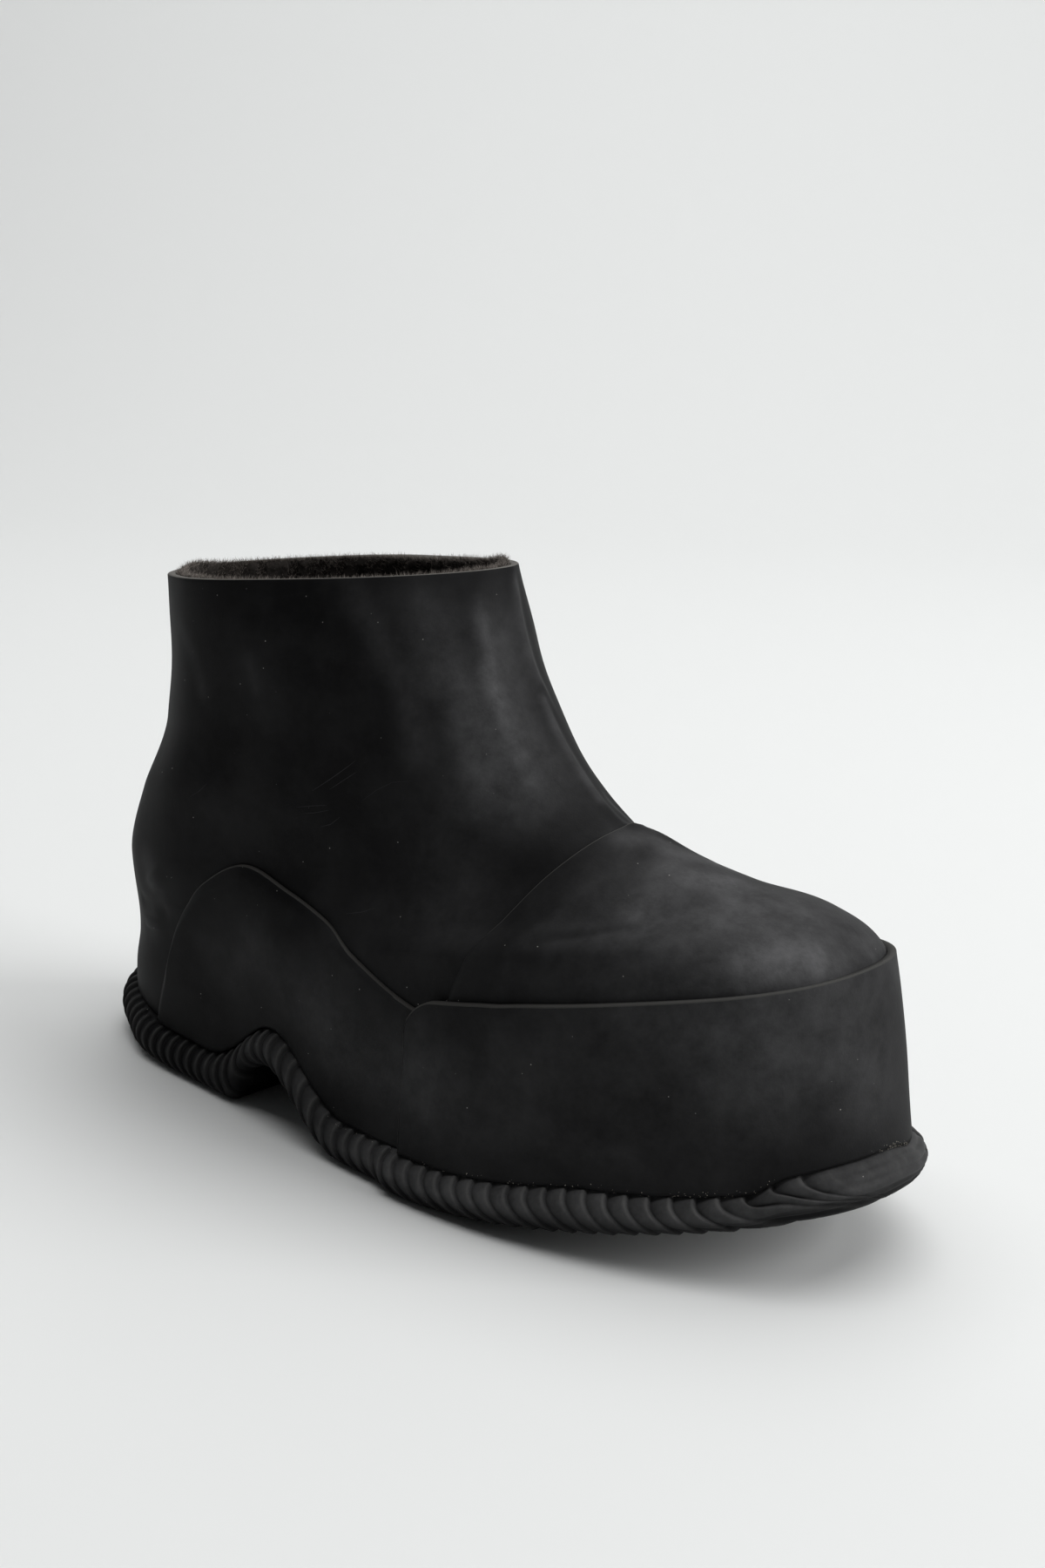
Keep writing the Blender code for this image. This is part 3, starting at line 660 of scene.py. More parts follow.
def bisect_level(inside, low, high):
    """The highest level at which inside(level) still holds, for each entry, by halving."""
    for _ in range(HALVINGS):
        middle = (low + high) / 2.0
        keep = inside(middle)
        low = np.where(keep, middle, low)
        high = np.where(keep, high, middle)
    return low


def smooth_edge(table):
    """A fine Catmull-Rom curve through an edge table, x and z in metres."""
    points = np.array([(p.along * LENGTH, p.height * INSTEP_HEIGHT) for p in table])
    padded = np.vstack([2 * points[0] - points[1], points, 2 * points[-1] - points[-2]])
    curve = []
    for a, b, c, d in zip(padded[:-3], padded[1:-2], padded[2:-1], padded[3:]):
        for t in np.linspace(0.0, 1.0, CURVE_STEPS, endpoint=False):
            curve.append(0.5 * (2 * b + (c - a) * t + (2 * a - 5 * b + 4 * c - d) * t ** 2
                                + (3 * b - 3 * c + d - a) * t ** 3))
    curve.append(points[-1])
    return np.array(curve)


def turn_at(x, level, side):
    """The turn on one side where the upper has a given x at a level."""
    section = section_at(np.asarray(level, float))
    back, front = section[1], section[2]
    along = np.clip((x - back) / (front - back), 0.0, 1.0)
    turn = np.arccos(1.0 - 2.0 * along) / (2.0 * np.pi)
    return turn if side < 0 else 1.0 - turn


def crowd_ends(count, strength):
    """Shares from 0 to 1, closer together near both ends."""
    u = np.linspace(0.0, 1.0, count)
    return (1.0 - strength) * u + strength * (1.0 - np.cos(np.pi * u)) / 2.0


def principled(name, colour, roughness):
    """A plain material of one colour, the start of all others."""
    material = bpy.data.materials.new(name)
    material.use_nodes = True
    shader = material.node_tree.nodes["Principled BSDF"]
    shader.inputs["Base Color"].default_value = (*colour, 1.0)
    shader.inputs["Roughness"].default_value = roughness
    shader.inputs["Specular IOR Level"].default_value = SPECULAR
    return material


def add_node(material, kind, links=(), **values):
    """A shader node with socket values and links given as (socket, node, output)."""
    node = material.node_tree.nodes.new("ShaderNode" + kind)
    for key, value in values.items():
        if key in node.inputs:
            node.inputs[key].default_value = value
        else:
            setattr(node, key, value)
    for socket, source, output in links:
        material.node_tree.links.new(source.outputs[output], node.inputs[socket])
    return node


def feed(material, socket, node, output):
    """Link a node's output to a socket of the material's main shader."""
    shader = material.node_tree.nodes["Principled BSDF"]
    material.node_tree.links.new(node.outputs[output], shader.inputs[socket])


def stretch(material, node, output, low, high, to_low=0.0, to_high=1.0):
    """A range of a node's output stretched to another."""
    ends = {"From Min": low, "From Max": high, "To Min": to_low, "To Max": to_high}
    return add_node(material, "MapRange", [("Value", node, output)], **ends)


def tinted(material, factor, output, under, colour):
    """A colour laid over another by a factor."""
    mix = add_node(material, "Mix", [("Factor", factor, output)], data_type="RGBA")
    mix.inputs["B"].default_value = (*colour, 1.0)
    if isinstance(under, tuple):
        mix.inputs["A"].default_value = (*under, 1.0)
    else:
        material.node_tree.links.new(under.outputs["Result"], mix.inputs["A"])
    return mix


def make_rubber(name, base, bloom, roughness):
    """Matte black rubber with grey bloom, dust and painted light, worn ridges with a painted glint,
    fine grain and specks of dust.
    """
    material = principled(name, base, roughness)
    node, ranged, tint = [partial(make, material) for make in (add_node, stretch, tinted)]
    place = [("Vector", node("TexCoord"), "Object")]
    cloud = node("TexNoise", place, Scale=28.0, Detail=5.0, Roughness=0.6)
    patches = ranged(cloud, "Fac", 0.42, 0.80, 0.0, CLOUDINESS)
    smear = node("TexNoise", place, Scale=120.0, Detail=4.0, Roughness=0.7)
    breakup = ranged(smear, "Fac", 0.3, 0.7, 0.55, 1.2)
    # The bloom attribute is grey bloom with painted highlights on the sheets, and dust with painted
    # light and shade on the sole's rim
    placed = node("Attribute", attribute_name="bloom")
    grey = node("Math", [(0, placed, "Fac"), (1, breakup, "Result"), (2, patches, "Result")],
                operation="MULTIPLY_ADD", use_clamp=True)
    # Wear on the ridges' crests, partly a painted glint
    worn_and_glinting = node("Attribute", attribute_name="wear")
    rubbed_and_glinting = node("Math", [(0, worn_and_glinting, "Fac"), (1, breakup, "Result")],
                  operation="MULTIPLY", use_clamp=True)
    specks = node("TexVoronoi", place, Scale=420.0)
    speck_size = ranged(specks, "Distance", 0.09, 0.02)
    chosen = node("SeparateColor", [("Color", specks, "Color")])
    rare = ranged(chosen, "Red", 0.90, 1.0)
    dots = node("Math", [(0, speck_size, "Result"), (1, rare, "Result")], operation="MULTIPLY")
    colour = tint(grey, "Value", base, bloom)
    colour = tint(rubbed_and_glinting, "Value", colour, WORN_AND_GLINTING_RUBBER)
    colour = tint(dots, "Value", colour, DUST)
    feed(material, "Base Color", colour, "Result")
    gloss = ranged(cloud, "Fac", 0.3, 0.7, roughness - 0.06, roughness + 0.08)
    feed(material, "Roughness", gloss, "Result")
    grain = node("TexNoise", place, Scale=1800.0, Detail=3.0)
    bump = node("Bump", [("Height", grain, "Fac")], Strength=0.12, Distance=0.0004)
    feed(material, "Normal", bump, "Normal")
    return material


def make_pile_material(name, dark, light, attribute=None):
    """Matted brown-black pile, its shade varied by noise or hair by hair."""
    material = principled(name, dark, 0.95)
    node = partial(add_node, material)
    if attribute:
        shade = node("Attribute", attribute_name=attribute)
    else:
        place = [("Vector", node("TexCoord"), "Object")]
        shade = node("TexNoise", place, Scale=420.0, Detail=4.0)
        bump = node("Bump", [("Height", shade, "Fac")], Strength=0.8, Distance=0.0012)
        feed(material, "Normal", bump, "Normal")
    tint = tinted(material, shade, "Fac", dark, light)
    feed(material, "Base Color", tint, "Result")
    return material


# Each rubber's second colour is its grey bloom and painted light, laid where the bloom attribute
# says
RUBBER = make_rubber("rubber_sheet", (0.0062, 0.0062, 0.0065), (0.105, 0.105, 0.108), 0.55)
# Cut edges and the collar's edge are lighter copies of the sheet rubber: a painted highlight along
# the edges
HIGHLIT_CUT_RUBBER = make_rubber("rubber_cut_edge_highlit", (0.042, 0.041, 0.039), (0.085, 0.085, 0.082), 0.62)
HIGHLIT_COLLAR_RUBBER = make_rubber("rubber_collar_edge_highlit", (0.120, 0.115, 0.106), (0.11, 0.11, 0.105), 0.62)
SOLE_RUBBER = make_rubber("rubber_moulded", (0.0050, 0.0050, 0.0053), (0.140, 0.140, 0.142), 0.50)
PILE = make_pile_material("pile", (0.012, 0.011, 0.010), (0.040, 0.035, 0.032))
FIBRE = make_pile_material("pile_fibre", (0.014, 0.012, 0.011), (0.25, 0.222, 0.200), "shade")
SCRATCHED = principled("scratched_rubber", (0.030, 0.030, 0.031), 0.7)
SAND = principled("sand_grains", (0.42, 0.39, 0.34), 0.8)
FLOOR = principled("pale_floor", (0.80, 0.81, 0.805), 0.8)


def make_upper():
    """The hollow upper with its cut edge at the collar."""
    turns = np.linspace(0.0, 1.0, UPPER_COLUMNS, endpoint=False)
    levels = np.linspace(0.0, TOP_LEVEL, UPPER_ROWS)
    turn, level = np.meshgrid(turns, levels)
    face = skin(turn, level, 0.0)
    rise = unit(face[-1] - face[-2])
    inwards = unit(skin(turns, float(TOP_LEVEL), -WALL) - face[-1])
    edge = face[-1] - rise * CUT_RADIUS
    rows = [face[:-1]]
    for angle in ROUNDING:
        inset = CUT_RADIUS * (1 - np.cos(angle))
        rows.append((edge + inwards * inset + rise * CUT_RADIUS * np.sin(angle))[None])
    for angle in ROUNDING[::-1]:
        inset = WALL - CUT_RADIUS * (1 - np.cos(angle))
        rows.append((edge + inwards * inset + rise * CUT_RADIUS * np.sin(angle))[None])
    turn, level = np.meshgrid(turns, np.linspace(TOP_LEVEL - 0.1, 0.0, UPPER_INNER_ROWS))
    rows.append(skin(turn, level, -WALL))
    points = np.concatenate(rows)
    faces = tube_faces(len(points), UPPER_COLUMNS)
    row = np.arange(len(faces)) // UPPER_COLUMNS
    # The collar's cut edge takes a lighter rubber, a painted highlight
    cut = (row >= UPPER_ROWS) & (row < UPPER_ROWS + 2 * len(ROUNDING) - 2)
    points = points.reshape(-1, 3)
    piece = add_piece("upper_rubber", points, faces, [RUBBER, HIGHLIT_COLLAR_RUBBER], cut,
                      bloom=bloom_at(points))
    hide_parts("upper")


def make_toe_cap():
    """The sheet over the toe, from under the band up over the instep."""
    first = turn_at(SEAM_REAR * LENGTH, 1.0, -1)
    turns = first + (1.0 - 2.0 * first) * crowd_ends(CAP_COLUMNS, CAP_CROWD)
    edge = smooth_edge(CAP_EDGE)

    def inside(level):
        point = wall(turns, level)
        return point[:, 0] > np.interp(point[:, 2], edge[:, 1], edge[:, 0])

    top = bisect_level(inside, np.full(CAP_COLUMNS, CAP_LOW), np.full(CAP_COLUMNS, CAP_HIGH))
    top = np.maximum(top, CAP_LOW + CAP_LEAST)
    share = np.linspace(0.0, 1.0, CAP_ROWS)[:, None]
    levels = CAP_LOW + (top - CAP_LOW)[None] * share
    turn = np.broadcast_to(turns, levels.shape)
    piece = lay_sheet("toe_cap_rubber", turn, levels, thinned(levels, top), -SHEET_SINK,
                      SHEET_RADIUS)
    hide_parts("toe_cap")


def make_side_panel(name, node, side):
    """The sheet over the heel quarter and the waist; side is -1 outside and 1 inside."""
    edge = smooth_edge(PANEL_EDGE)
    start = edge[0, 0] + PANEL_INSET
    front = SEAM_REAR * LENGTH - 2.0 * GAP
    x = start + (front - start) * np.linspace(0.0, 1.0, PANEL_COLUMNS) ** PANEL_CROWD

    def inside(level):
        point = wall(turn_at(x, level, side), level)
        return point[:, 2] < np.interp(point[:, 0], edge[:, 0], edge[:, 1])

    top = bisect_level(inside, np.zeros(PANEL_COLUMNS), np.full(PANEL_COLUMNS, PANEL_HIGH))
    top = np.maximum(top, PANEL_LEAST)
    share = np.linspace(0.0, 1.0, PANEL_ROWS)[:, None]
    levels = top[None] * share
    turn = turn_at(np.broadcast_to(x, levels.shape), levels, side)
    if side > 0:
        turn, levels, top = turn[:, ::-1], levels[:, ::-1], top[::-1]
    piece = lay_sheet(name, turn, levels, thinned(levels, top), -SHEET_SINK, SHEET_RADIUS)
    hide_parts(node)


def make_toe_band():
    """The tall band round the toe, over the cap and the front ends of the panels."""
    share = np.linspace(0.0, 1.0, BAND_ROWS)[:, None]
    across = crowd_ends(BAND_COLUMNS, BAND_CROWD)
    rear = BAND_REAR * LENGTH
    radius = BAND_CORNER * LENGTH

    def turns_at(level):
        first = turn_at(rear, level, -1)
        return first + (1.0 - 2.0 * first) * across

    def inside(level):
        x, _, z = wall(turns_at(level), level).T
        back = np.clip(rear + radius - x, 0.0, radius)
        return z < foxing(x) - radius + np.sqrt(radius ** 2 - back ** 2)

    top = bisect_level(inside, np.zeros(BAND_COLUMNS), np.full(BAND_COLUMNS, BAND_HIGH))
    levels = top[None] * share
    turn = turns_at(levels)
    inner = 2.0 * GAP + OVERLAY
    piece = lay_sheet("toe_band_rubber", turn, levels, inner + BAND, inner - BAND_SINK, CUT_RADIUS,
                      [*FOLDS, BAND_FOLD])
    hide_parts("toe_band")


class EdgeLine:
    """The upper's lower edge on one side, by the distance along it from the back."""

    def __init__(self, side):
        turns = np.linspace(0.0, 0.5, LINE_POINTS)
        turns = turns if side < 0 else 1.0 - turns
        self.points = wall(turns, 0.0)
        self.normals = outward(turns, 0.0)
        self.cover = sheet_cover(self.points[:, 0])
        steps = np.linalg.norm(np.diff(self.points[:, :2], axis=0), axis=1)
        self.distance = np.concatenate([[0.0], np.cumsum(steps)])
        self.length = self.distance[-1]

    def at(self, distance):
        """Points, outward normals and thickness of the sheets at distances."""
        def read(column):
            return np.interp(distance, self.distance, column)

        point = np.stack([read(self.points[:, k]) for k in range(3)], axis=-1)
        normal = np.stack([read(self.normals[:, 0]), read(self.normals[:, 1]),
                           np.zeros_like(distance)], axis=-1)
        return point, unit(normal), read(self.cover)


def sheet_cover(x):
    """Thickness of the sheets over the upper at its lower edge, eased from one to the next."""
    panel = ease((x / LENGTH - PANEL_EDGE[0].along) / PANEL_FADE + 1.0)
    band = ease((x / LENGTH - BAND_REAR) / BAND_FADE + 1.0)
    return (GAP + OVERLAY) * panel + (GAP + BAND) * band


def swept(line, distance, share):
    """Where a ridge that starts at a distance has come to, a share of its way down the rim."""
    ahead = line.length - distance
    leave_heel = 1.0 - bell(distance / HEEL_CROWD)
    sweep = HEEL_SWEEP + (RIDGE_SWEEP - HEEL_SWEEP) * ease((distance - SWEEP_FROM) / SWEEP_SPAN)
    starts, ends = np.array(FLOW_ENDS).T * MM
    end = np.where(ahead < starts[-1], np.interp(ahead, starts, ends), ahead - sweep * leave_heel)
    return distance + (ahead - end) * share


def ridge_height(place):
    """Height of one ridge: a slow rise from its groove, then a sudden fall at the toe side."""
    rise = np.clip(place / RIDGE_CREST, 0.0, 1.0) ** RISE_POWER
    fall = 1.0 - np.clip((place - RIDGE_CREST) / (1.0 - RIDGE_CREST), 0.0, 1.0) ** FALL_POWER
    return rise * fall


def side_rim(line, ridges, side):
    """Points of the rim on one side, columns from back to toe and rows down and under, how
    worn each is, with a painted glint on the crests, and how dusty, with painted light and
    shade."""
    place = np.concatenate([k + np.array(RIDGE_PLACES) for k in range(ridges)] + [[ridges]])
    left = ridges - place
    share = place / ridges
    share = share + PITCH_GROWTH * (share ** 2 - share)
    ahead = (line.length - TOE_SPREAD) * (1.0 - share) + TOE_SPREAD * (1.0 - np.exp(-left / 2.0))
    start = line.length - ahead
    start[0] = 0.0
    height = ridge_height(place % 1.0)
    rng = np.random.default_rng(SEED + side)
    uneven = np.interp(place, np.arange(ridges + 1), rng.uniform(*UNEVEN, ridges + 1))
    near_toe = bell(ahead / TOE_FLOW)
    # Wear on each crest, partly a painted glint where the crests catch light
    worn_and_glinting = bell(((place % 1.0) - RIDGE_CREST) / CREST_WEAR_AND_GLINT) * uneven * (1.0 - 0.8 * near_toe)

    def lift_at(point, out, normal, up):
        moved = point + out[..., None] * normal
        moved[..., 2] = up
        return moved

    angle = np.concatenate([np.linspace(RIM_TOP, RIM_UNDER, RIM_SIDE_ROWS),
                            np.linspace(RIM_UNDER, -90.0, RIM_UNDER_ROWS + 1)[1:]])[:, None]
    seen = np.sin(np.radians(RIM_TOP - RIM_TILT)) - np.sin(np.radians(angle - RIM_TILT))
    share = np.maximum.accumulate(seen / (1.0 + np.sin(np.radians(RIM_TOP - RIM_TILT))))
    where = swept(line, start + 0.0 * angle, share ** FLOW_POWER)
    point, normal, cover = line.at(where)
    low = tread(point[..., 0])
    half = (point[..., 2] - JOINT_DEPTH - low) / 2.0
    fade = ease((RIM_TOP - angle) / 22.0)
    under = ease((angle + 60.0) / 30.0)
    strength = fade * (under + (1.0 - under) * ease(low / FLOOR_FADE))
    low_end = ease((share - 0.35) / 0.4)
    wide_toe = bell(ahead / (2.0 * TOE_FLOW))
    flowing = 1.0 - ease((ahead - FLOW_FROM + FLOW_FADE) / FLOW_FADE)
    ridged = ease((ahead - SMOOTH_TOE) / SMOOTH_FADE)
    strength = strength * ridged
    strength = strength * (1.0 - low_end * (0.35 + 0.15 * wide_toe + 0.4 * flowing))
    cut = RIDGE_DEPTH * uneven * (1.0 - height) * strength
    for strand in STRANDS:
        reach = ease(1.5 - (line.length - where) / strand.reach)
        cut = cut + STRAND_DEPTH * reach * bell((angle - strand.angle) / STRAND_WIDTH)
    turned = np.radians(angle)
    heel_reach = HEEL_REACH * np.exp(-((where / HEEL_CROWD) ** 2) / 2.0)
    out = cover - RIM_UNDERCUT + heel_reach + (RIM_RADIUS - cut) * np.cos(turned)
    rim = lift_at(point, out, normal, low + half * (1.0 + np.sin(turned)) - cut * np.sin(turned))
    # Crest wear with a painted glint, strongest in the upper part of the rim
    rim_worn_and_glinting = 0.6 * worn_and_glinting * ease(share / 0.12) * (0.3 + 0.7 * ease((0.75 - share) / 0.5))
    # Dust with painted light and shade: lighter high on the rim, darker low down, in the grooves,
    # at the heel and at the toe tip
    dusty_and_lit = ease((0.95 - share) / 0.42) * (0.12 + 0.88 * ease((point[..., 0] + 0.07) / 0.10))
    dusty_and_lit = dusty_and_lit * (1.0 - 0.55 * (1.0 - height) * ridged) * (1.0 - 0.45 * near_toe)

    inset = np.linspace(0.0, 1.0, INSET_ROWS + 1)[1:, None]
    where = swept(line, start + 0.0 * inset, 1.0)
    point, normal, cover = line.at(where)
    low = tread(point[..., 0])
    out = (cover - RIM_UNDERCUT) * (1.0 - inset) - RIM_INSET * inset
    cut = RIDGE_DEPTH * uneven * (1.0 - height) * ease(low / FLOOR_FADE)
    sole = lift_at(point, out, normal, low + cut)
    bare = np.zeros(out.shape)
    return (np.concatenate([rim, sole]), np.concatenate([rim_worn_and_glinting, bare]),
            np.concatenate([dusty_and_lit, bare]))


def make_sole():
    """The ridged rim and the underside."""
    lines = EdgeLine(-1), EdgeLine(1)
    ridges = round((lines[0].length + lines[1].length) / 2.0 / RIDGE_PITCH)
    right, left = [side_rim(line, ridges, side) for side, line in enumerate(lines)]
    loop, worn_and_glinting, dusty_and_lit = [np.concatenate([a, b[:, -2:0:-1]], axis=1) for a, b in zip(right, left)]
    right, left = right[0], left[0]
    high, wide = loop.shape[:2]
    side = right.shape[1]
    faces = grid_faces(high, wide, closed=True)[:, ::-1].tolist()

    ties = np.linspace(0.0, 1.0, UNDERSIDE_ROWS + 2)[1:-1, None, None]
    across = (right[-1][None] * (1.0 - ties) + left[-1][None] * ties)[:, 1:-1]
    plain = tread(right[-1][:, 0]) * (1.0 - ties[..., 0]) + tread(left[-1][:, 0]) * ties[..., 0]
    across[..., 2] += tread(across[..., 0]) - plain[:, 1:-1]
    inner = side - 2
    count = high * wide
    rows = [np.arange((high - 1) * wide + 1, (high - 1) * wide + side - 1)]
    rows += [count + k * inner + np.arange(inner) for k in range(len(across))]
    rows.append(high * wide - 1 - np.arange(inner))
    heel = (high - 1) * wide
    toe = heel + side - 1
    for a, b in zip(rows[:-1], rows[1:]):
        faces += np.stack([b[:-1], b[1:], a[1:], a[:-1]], axis=-1).tolist()
        faces += [[b[0], a[0], heel], [a[-1], b[-1], toe]]
    middle = count + across.shape[0] * inner
    column = np.arange(wide)
    faces += np.stack([column, (column + 1) % wide, np.full(wide, middle)], axis=-1).tolist()
    points = np.concatenate([loop.reshape(-1, 3), across.reshape(-1, 3),
                             loop[0].mean(axis=0)[None]])
    # dust carries the rim's dust with painted light and shade; wear carries crest wear with a
    # painted glint
    wear, dust = np.zeros((2, len(points)))
    wear[:count] = worn_and_glinting.ravel()
    dust[:count] = dusty_and_lit.ravel()
    piece = add_piece("ridged_sole", points, faces, [SOLE_RUBBER], wear=wear,
                      bloom=dust * (SOLE_DUST_AND_LIGHT + 0.5 * bloom_at(points)))
    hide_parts("outsole")


def make_crumbs():
    """Sand and dust along the joint over the rim, as small pointed grains."""
    rng = np.random.default_rng(SEED + 9)
    turn = np.concatenate([rng.uniform(0.30, 0.43, 60), rng.normal(0.505, 0.010, 60),
                           rng.uniform(0.24, 0.30, 16)])
    count = len(turn)
    size = rng.uniform(0.05, 0.15, count) * MM
    root = skin(turn, 0.03 * rng.uniform(0.0, 1.0, count) ** 2, GAP * 2.0 + OVERLAY + BAND)
    root[:, 2] -= rng.uniform(-0.2, 0.4, count) * MM
    shape = np.array([(1, 0, 0), (-1, 0, 0), (0, 1, 0), (0, -1, 0), (0, 0, 1), (0, 0, -1)])
    points = root[:, None] + shape * (size[:, None, None] * rng.uniform(0.6, 1.4, (count, 6, 1)))
    corners = np.array([(0, 2, 4), (2, 1, 4), (1, 3, 4), (3, 0, 4),
                        (2, 0, 5), (1, 2, 5), (3, 1, 5), (0, 3, 5)])
    faces = (np.arange(count)[:, None, None] * 6 + corners).reshape(-1, 3)
    piece = add_piece("joint_sand", points.reshape(-1, 3), faces, [SAND])


def make_scratches():
    """Pale scratches on the upper: thin ribbons with a three-cornered section."""
    points, faces = [], []
    for scratch in SCRATCHES:
        knots = np.array(scratch.course)
        steps = np.linspace(0.0, len(knots) - 1.0, 8 * (len(knots) - 1) + 1)
        turn, level = [np.interp(steps, np.arange(len(knots)), knots[:, k]) for k in (0, 1)]
        middle = skin(turn, level, 0.0)
        normal = outward(turn, level)
        along = np.gradient(middle, axis=0)
        across = unit(np.cross(along, normal))
        taper = np.sin(np.pi * np.linspace(0.03, 0.97, len(steps))) ** 0.6
        half = (scratch.width * MM * taper)[:, None] * across
        ring = np.stack([middle + half - normal * 0.1 * MM, middle + normal * 0.05 * MM,
                         middle - half - normal * 0.1 * MM], axis=1)
        first = sum(len(p) for p in points)
        points.append(ring.reshape(-1, 3))
        for k in range(len(steps) - 1):
            for a, b in ((0, 1), (1, 2), (2, 0)):
                low, high = first + 3 * k, first + 3 * k + 3
                faces.append([high + a, high + b, low + b, low + a])
        last = first + 3 * (len(steps) - 1)
        faces += [[first, first + 1, first + 2], [last + 2, last + 1, last]]
    piece = add_piece("scratches", np.concatenate(points), faces, [SCRATCHED])


def pile_relief(turn, level):
    """Uneven height of the matted pile, the same at turn 0 and turn 1."""
    rng = np.random.default_rng(SEED + 3)
    relief = np.zeros(np.broadcast(turn, level).shape)
    for _ in range(PILE_WAVES):
        round_it = rng.integers(6, 70)
        wave = 2.0 * np.pi * round_it * turn + rng.uniform(2.0, 16.0) * level
        relief += PILE_RELIEF * np.sin(wave + rng.uniform(0.0, 2.0 * np.pi))
    return relief


def pile_top(turn):
    """Level of the pile's upper end, which stands over the collar in two places."""
    rise = sum(tuft.rise * bell(((turn - tuft.turn + 0.5) % 1.0 - 0.5) / tuft.span)
               for tuft in TUFTS)
    return TOP_LEVEL - 0.03 + rise


def make_lining():
    """The pile's backing, a closed soft shell inside the upper, and the footbed."""
    turns = np.linspace(0.0, 1.0, LINING_COLUMNS, endpoint=False)
    top = pile_top(turns)
    turn, share = np.meshgrid(turns, np.linspace(0.0, 1.0, LINING_ROWS))
    level = PILE_LOW + (top - PILE_LOW) * share
    face = skin(turn, level, -WALL - PILE_DEPTH + pile_relief(turn, level))
    turn, share = np.meshgrid(turns, np.linspace(1.0, 0.0, LINING_BACK_ROWS))
    level = PILE_LOW + (top + 0.015 - PILE_LOW) * share
    back = skin(turn, level,
                -WALL - PILE_BACK + 0.7 * MM * ease((TOP_LEVEL - 0.05 - level) / 0.1))
    points = np.concatenate([face, back])
    faces = tube_faces(len(points), LINING_COLUMNS)[:, ::-1]
    piece = add_piece("lining_pile", points.reshape(-1, 3), faces, [PILE])

    edge = wall(turns, 1.0) - outward(turns, 1.0) * 3.2 * MM
    centre = edge.mean(axis=0)
    rings = [centre + (edge - centre) * share for share in np.linspace(0.04, 1.0, INSOLE_RINGS)]
    rings += [rings[-1], rings[0]]
    seat = np.array(rings)
    seat[..., 2] = footbed(seat[..., 0])
    across = np.linspace(0.0, 8.0, INSOLE_RINGS)[:, None]
    seat[:-2, :, 2] += INSOLE + pile_relief(turns * 3.0, across)
    faces = grid_faces(len(seat), LINING_COLUMNS, closed=True)[:, ::-1]
    column = np.arange(LINING_COLUMNS)
    caps = [column, (len(seat) - 1) * LINING_COLUMNS + column[::-1]]
    piece = add_piece("insole_pile", seat.reshape(-1, 3), faces.tolist() + caps, [PILE])
    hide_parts("insole")


def make_fibres(name, roots, directions, length, spread, rng):
    """Short stiff hairs, each a closed spike with a three-cornered foot."""
    count = len(roots)
    direction = unit(directions + spread * rng.normal(size=(count, 3)))
    side = unit(np.cross(direction, rng.normal(size=(count, 3))))
    other = np.cross(direction, side)
    half = rng.uniform(*HAIR_HALF_WIDTHS, count)[:, None] * MM
    tip = roots + direction * length * rng.uniform(*HAIR_LENGTHS, count)[:, None]
    foot = [roots + half * (side * np.cos(a) + other * np.sin(a)) for a in (0.0, 2.094, 4.189)]
    points = np.stack([*foot, tip], axis=1).reshape(-1, 3)
    corners = np.array([(0, 2, 1), (0, 1, 3), (1, 2, 3), (2, 0, 3)])
    faces = (np.arange(count)[:, None, None] * 4 + corners).reshape(-1, 3)
    shade = np.repeat(rng.uniform(0.0, 1.0, count), 4)
    piece = add_piece(name, points, faces, [FIBRE], shade=shade)


def make_pile():
    """Hairs of the pile, dense and upright at the collar and sparser down the shaft."""
    rng = np.random.default_rng(SEED)
    turn = rng.uniform(0.0, 1.0, COLLAR_HAIRS)
    depth = COLLAR_HAIR_DEPTH * rng.uniform(0.0, 1.0, COLLAR_HAIRS) ** 2.2
    level = pile_top(turn) + 0.01 - depth
    root = skin(turn, level, -WALL - rng.uniform(0.5, 2.4, COLLAR_HAIRS) * MM)
    make_fibres("collar_fibres", root, -0.4 * outward(turn, level) + np.array([0.0, 0.0, 0.8]),
                COLLAR_HAIR, 0.55, rng)
    turn = rng.uniform(0.0, 1.0, SHAFT_HAIRS)
    level = rng.uniform(SHAFT_HAIRS_FROM, TOP_LEVEL - 0.7, SHAFT_HAIRS)
    root = skin(turn, level, -WALL - SHAFT_HAIR)
    make_fibres("shaft_fibres", root, -outward(turn, level), SHAFT_HAIR, 0.7, rng)


def make_camera():
    """The camera, where the photograph was taken from."""
    data = bpy.data.cameras.new("camera")
    data.sensor_fit = "VERTICAL"
    data.sensor_height = SENSOR
    data.lens = LENS
    camera = add_object("camera", data)
    turn = (Matrix.Rotation(np.radians(CAMERA_YAW - 90.0), 4, "Z")
            @ Matrix.Rotation(np.radians(90.0 + CAMERA_PITCH), 4, "X")
            @ Matrix.Rotation(np.radians(CAMERA_ROLL), 4, "Z"))
    camera.matrix_world = Matrix.Translation(CAMERA_AT) @ turn
    bpy.context.scene.camera = camera


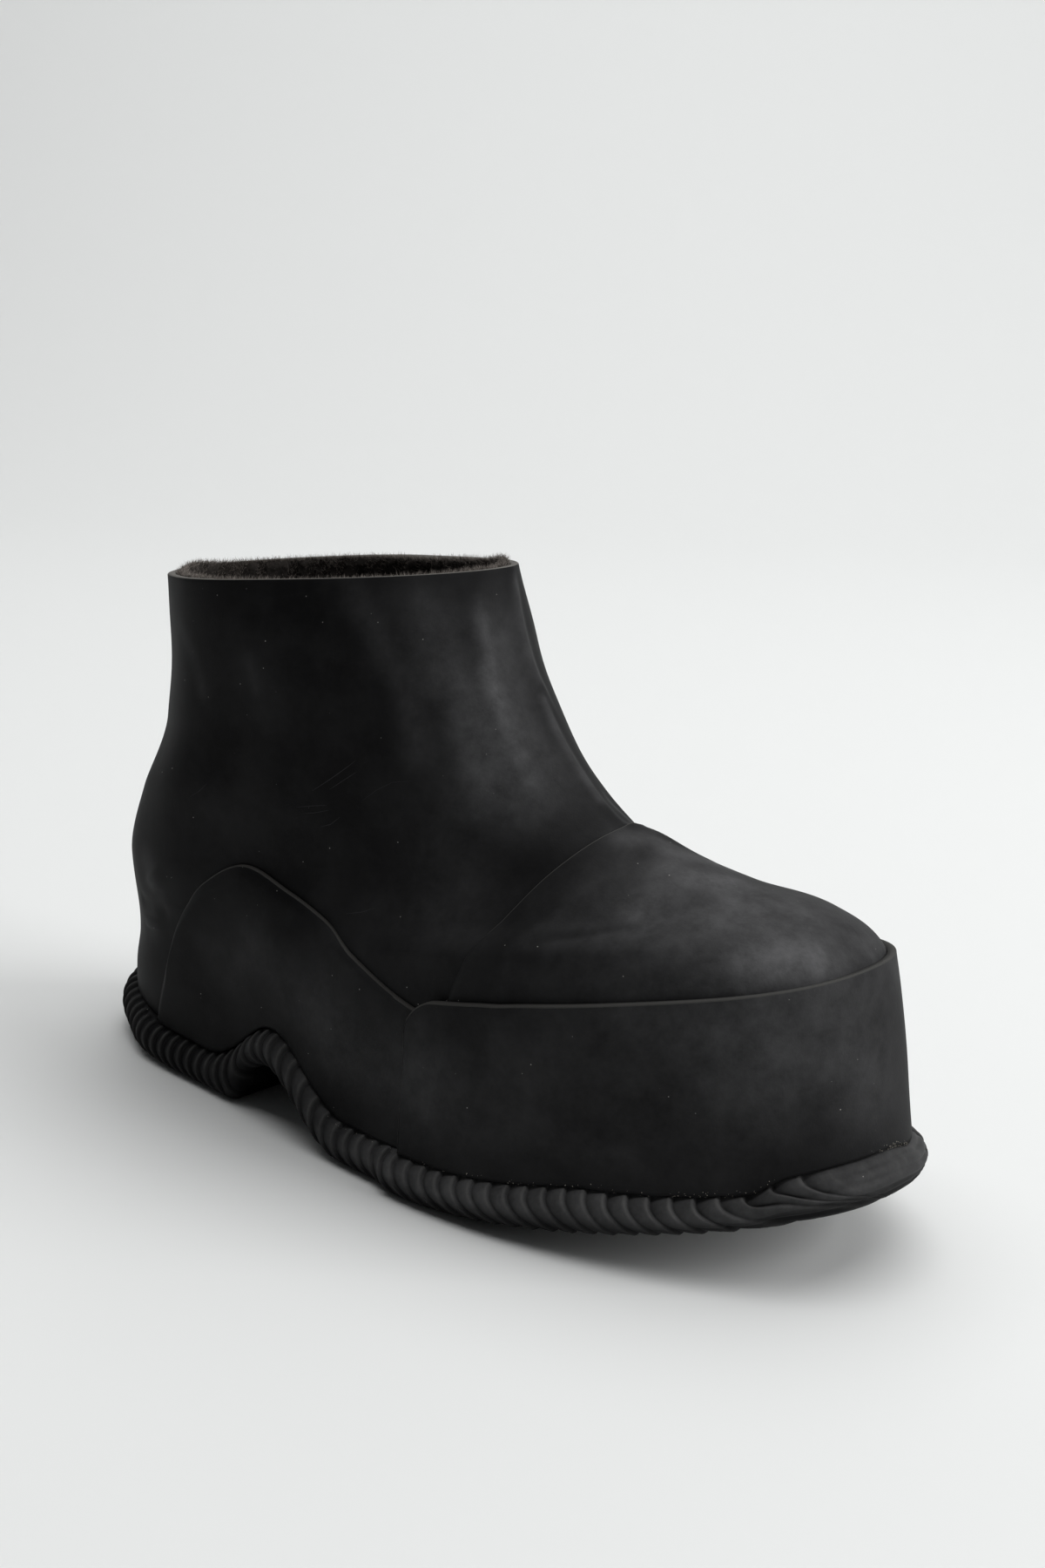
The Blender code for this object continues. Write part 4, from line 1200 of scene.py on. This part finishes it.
def make_light(name, place, target, size, power):
    """A square area light at a place, turned to a target."""
    data = bpy.data.lights.new(name, "AREA")
    data.shape = "RECTANGLE"
    data.size, data.size_y = size, size
    data.energy = power
    light = add_object(name, data)
    light.location = place
    way = Vector(target) - Vector(place)
    light.rotation_euler = way.to_track_quat("-Z", "Y").to_euler()


def make_floor():
    """A pale floor that curves up into a backdrop behind the boot."""
    look = np.array([np.cos(np.radians(CAMERA_YAW)), np.sin(np.radians(CAMERA_YAW)), 0.0])
    across = np.array([-look[1], look[0], 0.0])
    start = FLOOR_BACK - FLOOR_BEND
    profile = [(FLOOR_NEAR, 0.0), (start, 0.0)]
    for angle in np.radians(np.arange(6.0, 91.0, 6.0)):
        profile.append((start + FLOOR_BEND * np.sin(angle), FLOOR_BEND * (1.0 - np.cos(angle))))
    profile.append((FLOOR_BACK, BACKDROP_HEIGHT))
    points = [look * forward + across * side + np.array([0.0, 0.0, up])
              for forward, up in profile for side in FLOOR_SIDES]
    faces = [(2 * k, 2 * k + 1, 2 * k + 3, 2 * k + 2) for k in range(len(profile) - 1)]
    mesh = bpy.data.meshes.new("floor")
    mesh.from_pydata([tuple(p) for p in points], [], faces)
    mesh.materials.append(FLOOR)
    mesh.shade_smooth()
    floor = add_object("floor", mesh)


def make_world():
    """Faint even light from all sides."""
    world = bpy.data.worlds.new("pale_room")
    world.use_nodes = True
    background = world.node_tree.nodes["Background"]
    background.inputs["Color"].default_value = ROOM_COLOUR
    background.inputs["Strength"].default_value = ROOM_LIGHT
    bpy.context.scene.world = world


make_upper()
make_toe_cap()
make_side_panel("side_panel_lateral_rubber", "side_panel_lateral", -1)
make_side_panel("side_panel_medial_rubber", "side_panel_medial", 1)
make_toe_band()
make_sole()
make_crumbs()
make_scratches()
make_lining()
make_pile()
make_camera()
make_floor()
make_world()
make_light("window", (2.2, 0.9, 1.3), (-0.1, -0.4, 0.0), 1.6, 48.0)
make_light("ceiling", (-0.15, 0.45, 2.2), (-0.15, 0.4, 0.0), 2.8, 50.0)
bpy.context.scene.view_settings.view_transform = "Standard"
